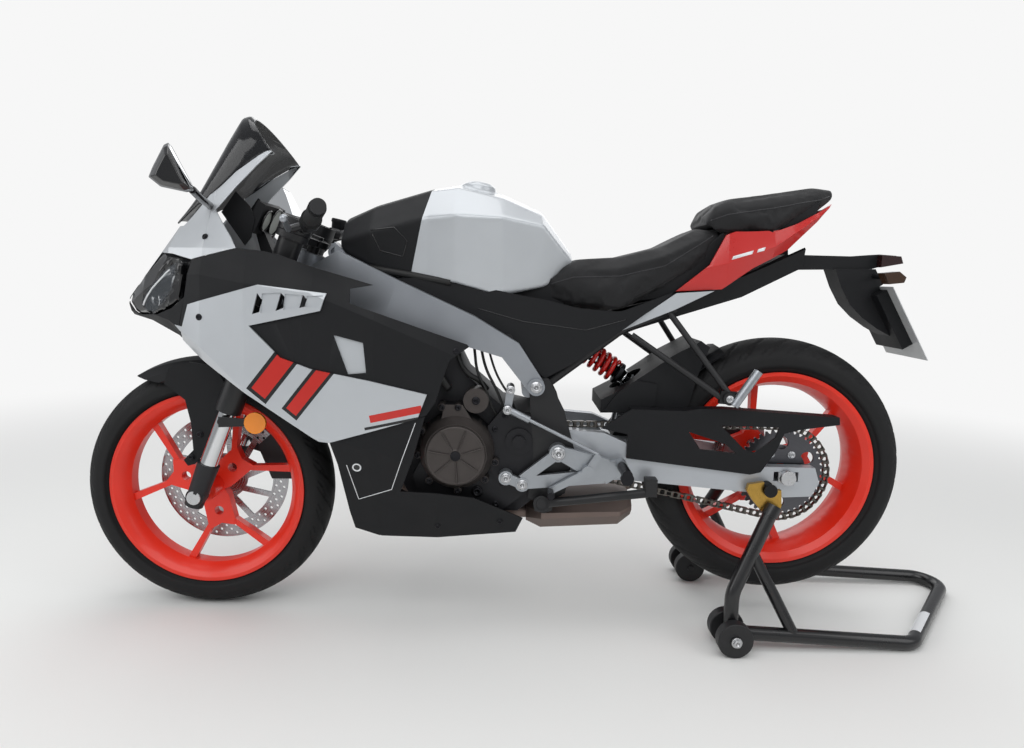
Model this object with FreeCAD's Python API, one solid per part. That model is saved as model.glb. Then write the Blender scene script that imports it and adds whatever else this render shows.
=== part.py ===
"""Sport bike of the small sport class, held by a rear paddock stand.

Millimetres. +X points to the rear, -Y to the bike's left side and +Z up. Each piece is modelled with
the front axle at X = 0 on the ground Z = 0, and all are shifted along X at the end, so that the
origin lies below the middle of the whole length.
"""
import os
from math import acos, atan2, cos, degrees, hypot, pi, radians, sin, sqrt, tan

import FreeCAD, Part

os.makedirs("parts", exist_ok=True)

# Wheels and chassis
WHEELBASE = 1350.0
FRONT_TYRE_R = 292.9
FRONT_TYRE_W = 110.0
REAR_TYRE_R = 305.9
REAR_TYRE_W = 150.0
RIM_FLANGE_R = 230.8
BEAD_SEAT_R = 217.0
FRONT_RIM_W = 94.0
REAR_RIM_W = 132.0
REAR_LIFT = 73.0
RAKE_LEVEL = 24.1
TRAIL_LEVEL = 102.0
FORK_Y = 100.0
STANCHION_R = 20.5
FORK_OUTER_R = 27.0
FRONT_AXLE_R = 10.0
REAR_AXLE_R = 10.0
AXLE_PLAY = 0.05
PIVOT_PLAY = 0.05

# Brakes and drive
FRONT_DISC_R = 160.0
REAR_DISC_R = 110.0
DISC_T = 4.5
FRONT_DISC_Y = 66.0
REAR_DISC_Y = 74.0
CHAIN_PITCH = 15.875
REAR_TEETH = 42
FRONT_TEETH = 15
CHAIN_Y = -88.0
SPROCKET_T = 6.0

# Bodywork
PANEL_T = 4.0
BLADE_T = 5.0
SCREEN_T = 3.0
POCKET_FLOOR = 2.2
VANE_T = 3.0
SEAM = 0.3

# Bars, pipes and rails
BAR_R = 11.0
GRIP_R = 17.0
LEVER_R = 6.0
TOP_YOKE_T = 16.0
BOTTOM_YOKE_T = 28.0
HEADER_R = 18.0
HEADER_BEND = 44.0
OUTLET_R = 26.0
RAIL_R = 11.0
RAIL_BEND = 60.0
PEG_R = 11.0

# Paddock stand
STAND_TUBE_R = 16.0
STAND_BEND = 52.0
STAND_LEG_BEND = 70.0
ROLLER_R = 39.0
ROLLER_W = 26.0

ORIGIN_SHIFT = -803.25

# Derived places
FRONT_AXLE_Z = FRONT_TYRE_R
REAR_AXLE_Z = REAR_TYRE_R + REAR_LIFT
REAR_AXLE_X = sqrt(WHEELBASE**2 - (REAR_AXLE_Z - FRONT_AXLE_Z)**2)
LEVEL_RISE = REAR_TYRE_R - FRONT_TYRE_R
NOSE_DOWN = degrees(atan2(REAR_AXLE_Z - FRONT_AXLE_Z - LEVEL_RISE, WHEELBASE))
RAKE = radians(RAKE_LEVEL - NOSE_DOWN)
AXLE_OFFSET = FRONT_TYRE_R * sin(radians(RAKE_LEVEL)) - TRAIL_LEVEL * cos(radians(RAKE_LEVEL))
STEER_GROUND_X = -(FRONT_TYRE_R * sin(RAKE) - AXLE_OFFSET) / cos(RAKE)


def vec(x, y, z):
    """A point or direction."""
    return FreeCAD.Vector(x, y, z)


def block(x0, x1, y0, y1, z0, z1):
    """A box from its two corners."""
    return Part.makeBox(x1 - x0, y1 - y0, z1 - z0, vec(x0, y0, z0))


def rod(start, end, radius):
    """A round bar between two points."""
    line = end - start
    return Part.makeCylinder(radius, line.Length, start, line)


def cone(start, end, r_start, r_end):
    """A tapered round bar between two points."""
    line = end - start
    return Part.makeCone(r_start, r_end, line.Length, start, line)


def cross_rod(x, z, y0, y1, radius):
    """A round bar along Y at (x, z)."""
    return rod(vec(x, y0, z), vec(x, y1, z), radius)


def plate(outline, y0, y1):
    """A flat plate with an (x, z) outline between two Y planes."""
    corners = [vec(x, y0, z) for x, z in outline]
    face = Part.Face(Part.makePolygon(corners + [corners[0]]))
    return face.extrude(vec(0, y1 - y0, 0))


def turned(profile, x, z):
    """A (y, r) outline turned about the axle line through (x, z)."""
    corners = [vec(x + r, y, z) for y, r in profile]
    face = Part.Face(Part.makePolygon(corners + [corners[0]]))
    return face.revolve(vec(x, 0, z), vec(0, 1, 0), 360)


def lofted(sections):
    """A straight-sided loft through closed sections of equal corner count."""
    wires = [Part.makePolygon(section + [section[0]]) for section in sections]
    body = Part.makeLoft(wires, True, True)
    return body if body.Volume > 0 else body.reversed()


def fuse(shapes):
    """One shape from several that meet."""
    shapes = list(shapes)
    if len(shapes) == 1:
        return shapes[0]
    return shapes[0].multiFuse(shapes[1:]).removeSplitter()


def mirrored(shape):
    """The same shape on the other side of the mid-plane."""
    return shape.mirror(vec(0, 0, 0), vec(0, 1, 0))


def pair(shape):
    """Left and right copies that don't touch, as one piece of work."""
    return Part.Compound([shape, mirrored(shape)])


def bent_tube(points, radius, bend):
    """A round tube along straight runs joined by tangent arcs of one bend radius."""
    edges = []
    last = points[0]
    for before, corner, after in zip(points, points[1:], points[2:]):
        into = (before - corner).normalize()
        out = (after - corner).normalize()
        half_turn = (pi - acos(max(-1.0, min(1.0, into.dot(out))))) / 2
        cut = bend * tan(half_turn)
        start = corner + into * cut
        end = corner + out * cut
        middle = corner + (into + out).normalize() * (bend / cos(half_turn) - bend)
        edges.append(Part.LineSegment(last, start).toShape())
        edges.append(Part.Arc(start, middle, end).toShape())
        last = end
    edges.append(Part.LineSegment(last, points[-1]).toShape())
    path = Part.Wire(edges)
    line = points[1] - points[0]
    ring = Part.Wire(Part.Edge(Part.Circle(points[0], line, radius)))
    return path.makePipeShell([ring], True, False)


def steer_point(along, y, ahead=0.0):
    """A point at a height along the steering axis, y to the side and some way ahead of it."""
    x = STEER_GROUND_X + along * sin(RAKE) - ahead * cos(RAKE)
    z = along * cos(RAKE) + ahead * sin(RAKE)
    return vec(x, y, z)


def on_axis(z):
    """Distance along the steering axis at which it reaches height z."""
    return z / cos(RAKE)


nodes = {}


# Wheels


def wheel_profile_tyre(radius, width, rim_width):
    """Tyre section as (y, r) corners, hollow inside and open at the rim."""
    half = width / 2
    seat = rim_width / 2 - 9
    shoulder = radius - 0.52 * (radius - BEAD_SEAT_R)
    crown = [(half * sin(t), shoulder + (radius - shoulder) * cos(t))
             for t in [radians(a) for a in (90, 62, 38, 18, 0, -18, -38, -62, -90)]]
    outer = [(seat, BEAD_SEAT_R), (seat + 1, RIM_FLANGE_R), (half * 0.96, RIM_FLANGE_R + 12)]
    inner = [(-seat + 12, BEAD_SEAT_R), (-half + 11, shoulder - 8), (-half * 0.55, radius - 22),
             (0, radius - 12), (half * 0.55, radius - 22), (half - 11, shoulder - 8),
             (seat - 12, BEAD_SEAT_R)]
    left = [(-y, r) for y, r in reversed(outer)]
    return outer + crown + left + inner


def rim(x, width, bore, hub_half, arms_at, hub_r):
    """Cast rim with its hub and three arms, each split into two thin spokes."""
    half = width / 2
    seat = half - 9
    barrel = [(half, RIM_FLANGE_R), (half - 6, RIM_FLANGE_R), (seat, BEAD_SEAT_R),
              (22, BEAD_SEAT_R - 3), (16, 203), (-16, 203), (-22, BEAD_SEAT_R - 3),
              (-seat, BEAD_SEAT_R), (6 - half, RIM_FLANGE_R), (-half, RIM_FLANGE_R),
              (-half, 222), (10 - half, 208), (-16, 194), (16, 194), (half - 10, 208), (half, 222)]
    z = FRONT_AXLE_Z if x == 0 else REAR_AXLE_Z
    hub = cross_rod(x, z, -hub_half, hub_half, hub_r)
    pieces = [turned(barrel, x, z), hub]
    for middle in arms_at:
        pieces.append(spoke_pair(x, z, middle))
    body = fuse(pieces)
    return body.cut(cross_rod(x, z, -hub_half - 1, hub_half + 1, bore))


def spoke_pair(x, z, middle):
    """A root web with a round hole that splits into two thin spokes."""
    def at(radius, angle):
        turn = radians(middle + angle)
        return (x + radius * cos(turn), z + radius * sin(turn))
    web = plate([at(20, -80), at(45, -46), at(98, -20), at(112, -15), at(98, 0), at(112, 15),
                 at(98, 20), at(45, 46), at(20, 80)], -13, 13)
    hole_x, hole_z = at(66, 0)
    web = web.cut(cross_rod(hole_x, hole_z, -20, 20, 11))
    spokes = []
    for side in (-1, 1):
        spokes.append(plate([at(96, side * 11), at(98, side * 19.5), at(198, side * 31.5),
                             at(199, side * 26.5)], -11, 11))
    return fuse([web] + spokes)


def disc(x, z, y, r_out, r_band, r_hub, arms):
    """Brake disc band on its armed carrier."""
    band = cross_rod(x, z, y - DISC_T / 2, y + DISC_T / 2, r_out)
    band = band.cut(cross_rod(x, z, y - DISC_T, y + DISC_T, r_band))
    hub = cross_rod(x, z, y - DISC_T / 2, y + DISC_T / 2, r_hub)
    spokes = []
    for index in range(arms):
        turn = 2 * pi * index / arms
        tip = vec(x + (r_band + 4) * cos(turn + 0.25), y, z + (r_band + 4) * sin(turn + 0.25))
        root = vec(x + (r_hub - 6) * cos(turn), y, z + (r_hub - 6) * sin(turn))
        spokes.append(arm(root, tip, 14, DISC_T))
    return fuse([band, hub] + spokes)


def arm(root, tip, width, thickness):
    """A flat bar between two points of one Y plane."""
    line = (tip - root).normalize()
    side = vec(-line.z, 0, line.x) * (width / 2)
    y = root.y
    outline = [(p.x, p.z) for p in (root - side, tip - side, tip + side, root + side)]
    return plate(outline, y - thickness / 2, y + thickness / 2)


nodes["front_tyre"] = turned(wheel_profile_tyre(FRONT_TYRE_R, FRONT_TYRE_W, FRONT_RIM_W), 0, FRONT_AXLE_Z)
nodes["front_rim"] = rim(0, FRONT_RIM_W, FRONT_AXLE_R + AXLE_PLAY, 62, (42, 162, 282), 27)
nodes["rear_tyre"] = turned(wheel_profile_tyre(REAR_TYRE_R, REAR_TYRE_W, REAR_RIM_W), REAR_AXLE_X,
                            REAR_AXLE_Z)
nodes["rear_rim"] = rim(REAR_AXLE_X, REAR_RIM_W, REAR_AXLE_R + AXLE_PLAY, 70, (12, 132, 252), 38)
front_disc = disc(0, FRONT_AXLE_Z, FRONT_DISC_Y, FRONT_DISC_R, 122, 58, 10)
front_disc = front_disc.fuse(cross_rod(0, FRONT_AXLE_Z, 62, FRONT_DISC_Y, 30))
nodes["front_disc"] = front_disc.cut(cross_rod(0, FRONT_AXLE_Z, 50, 80, 20)).removeSplitter()
rear_disc = disc(REAR_AXLE_X, REAR_AXLE_Z, REAR_DISC_Y, REAR_DISC_R, 82, 50, 5)
rear_disc = rear_disc.fuse(cross_rod(REAR_AXLE_X, REAR_AXLE_Z, 70, REAR_DISC_Y, 36))
nodes["rear_disc"] = rear_disc.cut(cross_rod(REAR_AXLE_X, REAR_AXLE_Z, 60, 90, 22)).removeSplitter()

# Chain drive
ROLLER_LINE_R = CHAIN_PITCH / (2 * sin(pi / REAR_TEETH)) + 1.5
FRONT_LINE_R = CHAIN_PITCH / (2 * sin(pi / FRONT_TEETH)) + 1.5
CHAIN_ROLLER_R = 4.5
OUTPUT_X = 722.0
OUTPUT_Z = 440.0
TIP_R = ROLLER_LINE_R - CHAIN_ROLLER_R - 1.0


def toothed_outline(x, z, teeth, r_tip, r_root):
    """Sprocket outline: four corners a tooth."""
    outline = []
    for index in range(teeth):
        for share, radius in ((-0.36, r_root), (-0.12, r_tip), (0.12, r_tip), (0.36, r_root)):
            turn = 2 * pi * (index + share) / teeth
            outline.append((x + radius * cos(turn), z + radius * sin(turn)))
    return outline


sprocket = plate(toothed_outline(REAR_AXLE_X, REAR_AXLE_Z, REAR_TEETH, TIP_R, TIP_R - 8),
                 CHAIN_Y - SPROCKET_T / 2, CHAIN_Y + SPROCKET_T / 2)
for index in range(6):
    turn = 2 * pi * (index + 0.5) / 6
    sprocket = sprocket.cut(cross_rod(REAR_AXLE_X + 70 * cos(turn), REAR_AXLE_Z + 70 * sin(turn),
                                      CHAIN_Y - 5, CHAIN_Y + 5, 15))
carrier = cross_rod(REAR_AXLE_X, REAR_AXLE_Z, CHAIN_Y + SPROCKET_T / 2, -70, 62)
sprocket = fuse([sprocket, carrier]).cut(cross_rod(REAR_AXLE_X, REAR_AXLE_Z, -110, -60, 22))
nodes["rear_sprocket"] = sprocket


def chain_loop():
    """Rollers' centre line as (x, z) corners, with outward normals."""
    dx = REAR_AXLE_X - OUTPUT_X
    dz = REAR_AXLE_Z - OUTPUT_Z
    tilt = atan2(dz, dx)
    lean = acos((ROLLER_LINE_R - FRONT_LINE_R) / hypot(dx, dz))
    corners = []
    rear_steps = 22
    for index in range(rear_steps + 1):
        turn = tilt + (pi - lean) - 2 * (pi - lean) * index / rear_steps
        corners.append((REAR_AXLE_X, REAR_AXLE_Z, ROLLER_LINE_R, turn))
    front_steps = 7
    for index in range(front_steps + 1):
        turn = tilt - (pi - lean) - 2 * lean * index / front_steps
        corners.append((OUTPUT_X, OUTPUT_Z, FRONT_LINE_R, turn))
    return corners


def ring_band(corners, half_height, y0, y1):
    """A closed band round the loop, half_height to each side of the rollers' line."""
    outer = [(x + (r + half_height) * cos(t), z + (r + half_height) * sin(t)) for x, z, r, t in corners]
    inner = [(x + (r - half_height) * cos(t), z + (r - half_height) * sin(t)) for x, z, r, t in corners]
    return plate(outer, y0, y1).cut(plate(inner, y0 - 1, y1 + 1))


LOOP = chain_loop()
nodes["drive_chain"] = fuse([
    ring_band(LOOP, 6.5, CHAIN_Y - 7.5, CHAIN_Y - 5.0),
    ring_band(LOOP, 6.5, CHAIN_Y + 5.0, CHAIN_Y + 7.5),
    ring_band(LOOP, CHAIN_ROLLER_R, CHAIN_Y - 5.0, CHAIN_Y + 5.0)])

# Front fork, yokes, bars and axle
REFLECTOR_X = 149.0
REFLECTOR_Y = 128.0
REFLECTOR_Z = 474.0
REFLECTOR_R = 24.0


def fork_leg(side):
    """One leg: axle foot, bright inner tube and black outer tube."""
    y = side * FORK_Y
    axle = vec(0, y, FRONT_AXLE_Z)
    direction = vec(sin(RAKE), 0, cos(RAKE))
    top_of_foot = axle + direction * 82
    inner_top = axle + direction * 215
    outer_top = axle + direction * 640
    foot = fuse([cone(axle - direction * 24, top_of_foot, 21, 25),
                 cross_rod(0, FRONT_AXLE_Z, y - 15, y + 15, 21)])
    leg = fuse([foot, rod(top_of_foot, inner_top, STANCHION_R), rod(inner_top, inner_top + direction * 90,
                                                                    29),
                rod(inner_top + direction * 90, outer_top, FORK_OUTER_R)])
    leg = leg.cut(cross_rod(0, FRONT_AXLE_Z, y - 30, y + 30, FRONT_AXLE_R))
    near, far = sorted((side * REFLECTOR_Y, side * (REFLECTOR_Y + 8)))
    low, high = sorted((side * REFLECTOR_Y, side * (REFLECTOR_Y + 3)))
    strip = plate([(66, 462), (66, 486), (140, 482), (160, 474), (140, 466)], low, high)
    reflector = cross_rod(REFLECTOR_X, REFLECTOR_Z, near, far, REFLECTOR_R)
    web = cross_rod(72, 474, side * (FORK_Y + 12), side * (REFLECTOR_Y + 2), 9)
    return fuse([leg, strip, reflector, web])


front_axle = fuse([cross_rod(0, FRONT_AXLE_Z, -118, 118, FRONT_AXLE_R),
                   cross_rod(0, FRONT_AXLE_Z, -122, -115, 16), cross_rod(0, FRONT_AXLE_Z, 115, 122, 16),
                   cross_rod(0, FRONT_AXLE_Z, -85, -62.5, 15), cross_rod(0, FRONT_AXLE_Z, 62.5, 85, 15)])
nodes["front_axle"] = front_axle
nodes["fork_legs"] = Part.Compound([fork_leg(-1).cut(front_axle), fork_leg(1).cut(front_axle)])

TOP_YOKE_Z = 872.0
BOTTOM_YOKE_Z = 696.0
HEAD_TOP_Z = 856.0
HEAD_BOTTOM_Z = 730.0


def yoke(z, thickness):
    """A clamp plate square to the steering axis that holds both legs and the stem."""
    along = on_axis(z)
    up = vec(sin(RAKE), 0, cos(RAKE))
    outline = [(-14, -40), (34, -FORK_Y - 10), (42, -FORK_Y + 34), (20, 0), (42, FORK_Y - 34),
               (34, FORK_Y + 10), (-14, 40)]
    corners = [steer_point(along, y, ahead) for ahead, y in outline]
    face = Part.Face(Part.makePolygon(corners + [corners[0]]))
    body = face.extrude(up * thickness)
    for side in (-1, 1):
        centre = steer_point(along, side * FORK_Y, AXLE_OFFSET)
        body = body.fuse(rod(centre, centre + up * thickness, FORK_OUTER_R + 9))
    centre = steer_point(along, 0)
    body = body.fuse(rod(centre, centre + up * thickness, 30))
    for side in (-1, 1):
        centre = steer_point(along - 10, side * FORK_Y, AXLE_OFFSET)
        body = body.cut(rod(centre, centre + up * (thickness + 20), FORK_OUTER_R))
    return body


STEM_R = 14.0
stem_low = steer_point(on_axis(BOTTOM_YOKE_Z), 0)
stem_high = steer_point(on_axis(TOP_YOKE_Z) + 24, 0)
nodes["fork_yokes"] = fuse([yoke(TOP_YOKE_Z, TOP_YOKE_T), yoke(BOTTOM_YOKE_Z, BOTTOM_YOKE_T),
                            rod(stem_low, stem_high, STEM_R)])

BAR_END = vec(357, -372, 931)
BAR_INNER = vec(268, -128, 905)
WEIGHT_LENGTH = 18.0
WEIGHT_R = 15.0


def bar(side):
    """One clip-on bar with its clamp, grip, lever and lever bracket."""
    def at(point):
        return vec(point.x, side * abs(point.y), point.z)
    line = (BAR_END - BAR_INNER).normalize()
    clamp_low = steer_point(on_axis(TOP_YOKE_Z) + 17, side * FORK_Y, AXLE_OFFSET)
    up = vec(sin(RAKE), 0, cos(RAKE))
    clamp = rod(clamp_low, clamp_low + up * 30, FORK_OUTER_R + 9)
    riser = rod(clamp_low + up * 15, at(BAR_INNER + line * 10), 14)
    clamp = clamp.fuse(riser).cut(rod(clamp_low - up * 5, clamp_low + up * 60, FORK_OUTER_R))
    bar_tube = rod(at(BAR_INNER), at(BAR_END - line * 4), BAR_R)
    grip = rod(at(BAR_INNER + line * 122), at(BAR_END - line * WEIGHT_LENGTH), GRIP_R)
    weight = rod(at(BAR_END - line * WEIGHT_LENGTH), at(BAR_END), WEIGHT_R)
    switch = rod(at(BAR_INNER + line * 78), at(BAR_INNER + line * 122), 21)
    bracket_at = BAR_INNER + line * 62
    pivot = bracket_at + vec(-40, -8, -14)
    bracket = fuse([rod(at(bracket_at - line * 10), at(bracket_at + line * 10), 18),
                    rod(at(bracket_at), at(pivot), 9)])
    tip = BAR_END + vec(-70, 22, -22)
    lever = fuse([rod(at(pivot), at(tip), LEVER_R), cross_ball(at(tip), 8)])
    return fuse([clamp, bar_tube, grip, weight, switch, bracket, lever])


def cross_ball(centre, radius):
    """A small ball end."""
    return Part.makeSphere(radius, centre)


nodes["handlebars"] = Part.Compound([bar(-1), bar(1)])

# Front mudguard: an arched shell over the tyre with a fork arm on each side
guard = []
GUARD_GAP = 14.0
inner_r = FRONT_TYRE_R + GUARD_GAP
section = [(-72, inner_r - 34), (-68, inner_r - 16), (-48, inner_r + 2), (0, inner_r + 8),
           (48, inner_r + 2),
           (68, inner_r - 16), (72, inner_r - 34)]
thick = [(y * 0.94, r - 3.5) for y, r in reversed(section)]
full = turned(section + thick, 0, FRONT_AXLE_Z)
GUARD_CUT = [(-175, 640), (-151, 560), (-78, 547), (-31, 512), (52, 530), (60, 545), (120, 800),
             (-150, 800)]
guard.append(full.common(plate(GUARD_CUT, -80, 80)))
GUARD_ARM = [(-78, 549), (-66, 585), (-20, 600), (40, 592), (66, 545), (74, 506), (76, 468), (50, 456),
             (13, 391),
             (-13, 361), (-30, 356), (-39, 370), (-16, 394), (-19, 457), (-31, 512)]
arm_plate = plate(GUARD_ARM, -76, -70)
disc_room = cross_rod(0, FRONT_AXLE_Z, 60, 80, FRONT_DISC_R + 8)
guard.append(arm_plate)
guard.append(mirrored(arm_plate).cut(disc_room))
nodes["front_mudguard"] = fuse(guard).cut(nodes["fork_legs"])


# Brake calipers


def caliper(x, z, y, radius, turn, length):
    """A radial caliper that straddles a disc, round its edge."""
    def at(r, angle):
        return (x + r * cos(radians(turn + angle)), z + r * sin(radians(turn + angle)))
    outline = [at(radius - 34, -length), at(radius + 16, -length), at(radius + 22, 0),
               at(radius + 16, length), at(radius - 34, length)]
    body = plate(outline, y - 24, y + 24)
    slot = cross_rod(x, z, y - DISC_T / 2 - 2.5, y + DISC_T / 2 + 2.5, radius + 6)
    return body.cut(slot)


front_caliper = caliper(0, FRONT_AXLE_Z, FRONT_DISC_Y, FRONT_DISC_R, 22, 21)
CALIPER_LUG = [(70, 360), (120, 345), (150, 395), (108, 430), (62, 470), (40, 430)]
lug = plate(CALIPER_LUG, FRONT_DISC_Y + 10, FRONT_DISC_Y + 24)
front_caliper = fuse([front_caliper, lug])
HOSE_R = 4.5
hose = bent_tube([vec(128, 88, 385), vec(136, 106, 460), vec(140, 122, 560), steer_point(740, 142, 22),
                  steer_point(880, 148, 34), vec(262, 172, 896)], HOSE_R, 60)
nodes["front_caliper"] = front_caliper.cut(nodes["fork_legs"])
nodes["brake_hose"] = hose.cut(front_caliper).cut(nodes["handlebars"])
rear_caliper = caliper(REAR_AXLE_X, REAR_AXLE_Z, REAR_DISC_Y, REAR_DISC_R, 128, 19)
hanger = plate([(REAR_AXLE_X + 24, REAR_AXLE_Z - 20), (REAR_AXLE_X + 22, REAR_AXLE_Z + 26),
                (REAR_AXLE_X - 28, REAR_AXLE_Z + 90), (REAR_AXLE_X - 66, REAR_AXLE_Z + 62),
                (REAR_AXLE_X - 24, REAR_AXLE_Z - 22)], REAR_DISC_Y + 8, REAR_DISC_Y + 18)
hanger = hanger.cut(cross_rod(REAR_AXLE_X, REAR_AXLE_Z, 70, 110, REAR_AXLE_R))
nodes["rear_caliper"] = fuse([rear_caliper, hanger])

# Fairing: one master form, cut by side-view outlines
# columns: x, ridge z, shoulder y z, upper y z, waist y z, lower y z, corner y z, keel z
FORM = (
    (-168, 756, 20, 752, 34, 742, 38, 728, 30, 712, 16, 702, 700),
    (-110, 828, 46, 812, 84, 790, 94, 760, 84, 715, 50, 692, 686),
    (-30, 930, 70, 905, 128, 856, 150, 800, 142, 700, 90, 662, 650),
    (60, 1000, 92, 985, 170, 856, 190, 800, 196, 650, 150, 560, 540),
    (160, 1050, 108, 1064, 190, 858, 212, 785, 216, 560, 170, 420, 400),
    (300, 1070, 116, 1084, 198, 825, 224, 768, 226, 470, 158, 270, 258),
    (430, 1060, 116, 1050, 196, 800, 226, 716, 220, 440, 140, 222, 212),
    (560, 1000, 110, 980, 188, 770, 212, 660, 204, 380, 132, 218, 212),
    (790, 900, 100, 880, 160, 700, 170, 560, 160, 330, 120, 236, 228))


def form(grow):
    """The fairing's solid outer form, moved outwards by grow."""
    sections = []
    for x, ridge, y1, z1, y2, z2, y3, z3, y4, z4, y5, z5, keel in FORM:
        left = [vec(x, 0, ridge + grow), vec(x, -y1 - grow, z1 + grow * 0.6), vec(x, -y2 - grow, z2),
                vec(x, -y3 - grow, z3), vec(x, -y4 - grow, z4), vec(x, -y5 - grow * 0.7, z5 - grow * 0.7),
                vec(x, 0, keel - grow)]
        right = [vec(p.x, -p.y, p.z) for p in reversed(left[1:-1])]
        sections.append(left + right)
    return lofted(sections)


def shell(outline, outer, inner, y0, y1):
    """The wall between two forms inside a side-view outline and a Y range."""
    return outer.common(plate(outline, y0, y1)).cut(inner)


OUTER = form(0)
INNER = form(-PANEL_T)
BLADE_OUTER = form(BLADE_T + 0.5)
BLADE_INNER = form(0.5)
FAR = 260.0

NOSE_SIDE = [(-170, 735), (-150, 790), (-112, 850), (-40, 930), (20, 952), (108, 1022), (184, 1070),
             (190, 1066),
             (114, 988), (72, 938), (120, 880), (134, 857), (33, 832), (-18, 843), (-69, 846), (-148, 775)]
SIDE_PANEL = [(35, 831), (138, 857), (194, 852), (224, 846), (303, 821), (425, 788), (378, 779), (379, 750),
              (622, 668), (626, 663), (585, 634), (557, 544), (538, 516), (352, 462), (312, 470), (60, 650),
              (8, 660), (2, 690), (20, 760)]
SIDE_WINDOW = [(346, 684), (408, 669), (414, 606), (376, 602)]
WINDOW_VANE = [(336, 696), (418, 678), (424, 596), (366, 592)]
BLADE = [(30, 737), (191, 783), (333, 769), (321, 733), (170, 698), (236, 634), (300, 612), (420, 590),
         (540, 562),
         (521, 510), (336, 456), (316, 458), (0, 657)]
# three slots, each with a shallow pocket behind it
LOUVRES = (
    ((190, 766), (200, 752), (194, 727), (178, 722)),
    ((240, 768), (248, 760), (245, 737), (228, 730)),
    ((286, 765), (294, 757), (290, 741), (278, 738)))
POCKETS = (
    ((200, 765), (239, 768), (227, 732), (196, 725)),
    ((249, 766), (285, 764), (277, 739), (245, 733)),
    ((294, 762), (327, 765), (318, 741), (291, 740)))
BELLY = [(352, 462), (336, 456), (349, 404), (366, 284), (381, 212), (618, 212), (736, 230), (752, 270),
         (700, 296), (640, 326), (560, 338), (481, 340), (511, 421), (536, 514)]

nose = shell(NOSE_SIDE, OUTER, INNER, -FAR, FAR)
centre_cut = plate([(-60, 905), (-60, 1200), (260, 1200), (260, 905)], -88, 88)
nodes["nose_fairing"] = nose.cut(centre_cut)

side_panel = shell(SIDE_PANEL, OUTER, INNER, -FAR, -60)
side_panel = side_panel.cut(plate(SIDE_WINDOW, -FAR, 0))
for corners in LOUVRES:
    side_panel = side_panel.cut(plate(list(corners), -FAR, 0))
nodes["side_fairings"] = pair(side_panel)
blade = shell(BLADE, BLADE_OUTER, BLADE_INNER, -FAR, -60)
for corners in LOUVRES:
    blade = blade.cut(plate(list(corners), -FAR, 0))
pocket_floor = form(POCKET_FLOOR)
for corners in POCKETS:
    blade = blade.cut(shell(list(corners), form(BLADE_T + 2), pocket_floor, -FAR, -60))
vane = shell(WINDOW_VANE, form(-PANEL_T - SEAM), form(-PANEL_T - SEAM - VANE_T), -FAR, -60)
left_blades = Part.Compound([blade, vane])
nodes["fairing_blades"] = Part.Compound([left_blades, mirrored(left_blades)])
nodes["belly_pan"] = shell(BELLY, OUTER, INNER, -FAR, FAR)

# Windscreen: a bubble over the nose
# columns: x, edge y, edge z, shoulder y, shoulder z, ridge z
SCREEN_FORM = (
    (-60, 34, 906, 20, 912, 916),
    (20, 84, 960, 58, 1000, 1020),
    (105, 118, 1024, 84, 1108, 1150),
    (215, 130, 1080, 100, 1200, 1262))


def screen_form(grow):
    """Solid bubble below the screen's surface."""
    sections = []
    for x, y1, z1, y2, z2, ridge in SCREEN_FORM:
        low = z1 - 40
        sections.append([vec(x, -y1 - grow, low), vec(x, -y1 - grow, z1),
                         vec(x, -y2 - grow, z2 + grow * 0.7),
                         vec(x, 0, ridge + grow), vec(x, y2 + grow, z2 + grow * 0.7), vec(x, y1 + grow, z1),
                         vec(x, y1 + grow, low)])
    return lofted(sections)


SCREEN_SIDE = [(-46, 926), (-20, 962), (106, 1160), (120, 1158), (196, 1076), (196, 1010), (112, 985),
               (34, 930),
               (-38, 890)]
screen = screen_form(0).cut(screen_form(-SCREEN_T)).common(plate(SCREEN_SIDE, -FAR, FAR)).cut(OUTER)
nodes["windscreen"] = screen

# Headlight: twin slanted lamps in one housing behind the nose
HEADLIGHT = [(-150, 772), (-70, 845), (-18, 842), (32, 830), (20, 812), (2, 742), (-20, 728), (-66, 712),
             (-140, 696), (-164, 735)]
lamp = form(-PANEL_T - 1).common(plate(HEADLIGHT, -FAR, FAR))
lamp = lamp.cut(form(-46).common(plate([(-100, 650), (-100, 900), (120, 900), (120, 650)], -FAR, FAR)))
nodes["headlight"] = lamp
CHIN = [(-168, 733), (-146, 703), (-66, 710), (-20, 726), (2, 740), (18, 752), (0, 690), (-4, 662),
        (-140, 655),
        (-175, 690)]
nodes["nose_chin"] = shell(CHIN, OUTER, INNER, -FAR, FAR)

# Tank cover, front cover and side covers
# columns: x, top z, shoulder y z, side y z, low y z
TANK_FORM = (
    (528, 1008, 66, 996, 132, 935, 118, 806),
    (590, 1019, 78, 1004, 158, 940, 132, 796),
    (690, 1000, 74, 984, 156, 938, 124, 770),
    (780, 962, 60, 950, 118, 925, 96, 790),
    (850, 870, 40, 862, 70, 846, 60, 815))


def tank_form(table, drop):
    """A solid cover form from station rows, closed a drop below its lowest edge."""
    sections = []
    for x, top, y1, z1, y2, z2, y3, z3 in table:
        left = [vec(x, 0, top), vec(x, -y1, z1), vec(x, -y2, z2), vec(x, -y3, z3), vec(x, 0, z3 - drop)]
        right = [vec(p.x, -p.y, p.z) for p in reversed(left[1:-1])]
        sections.append(left + right)
    return lofted(sections)


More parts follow.
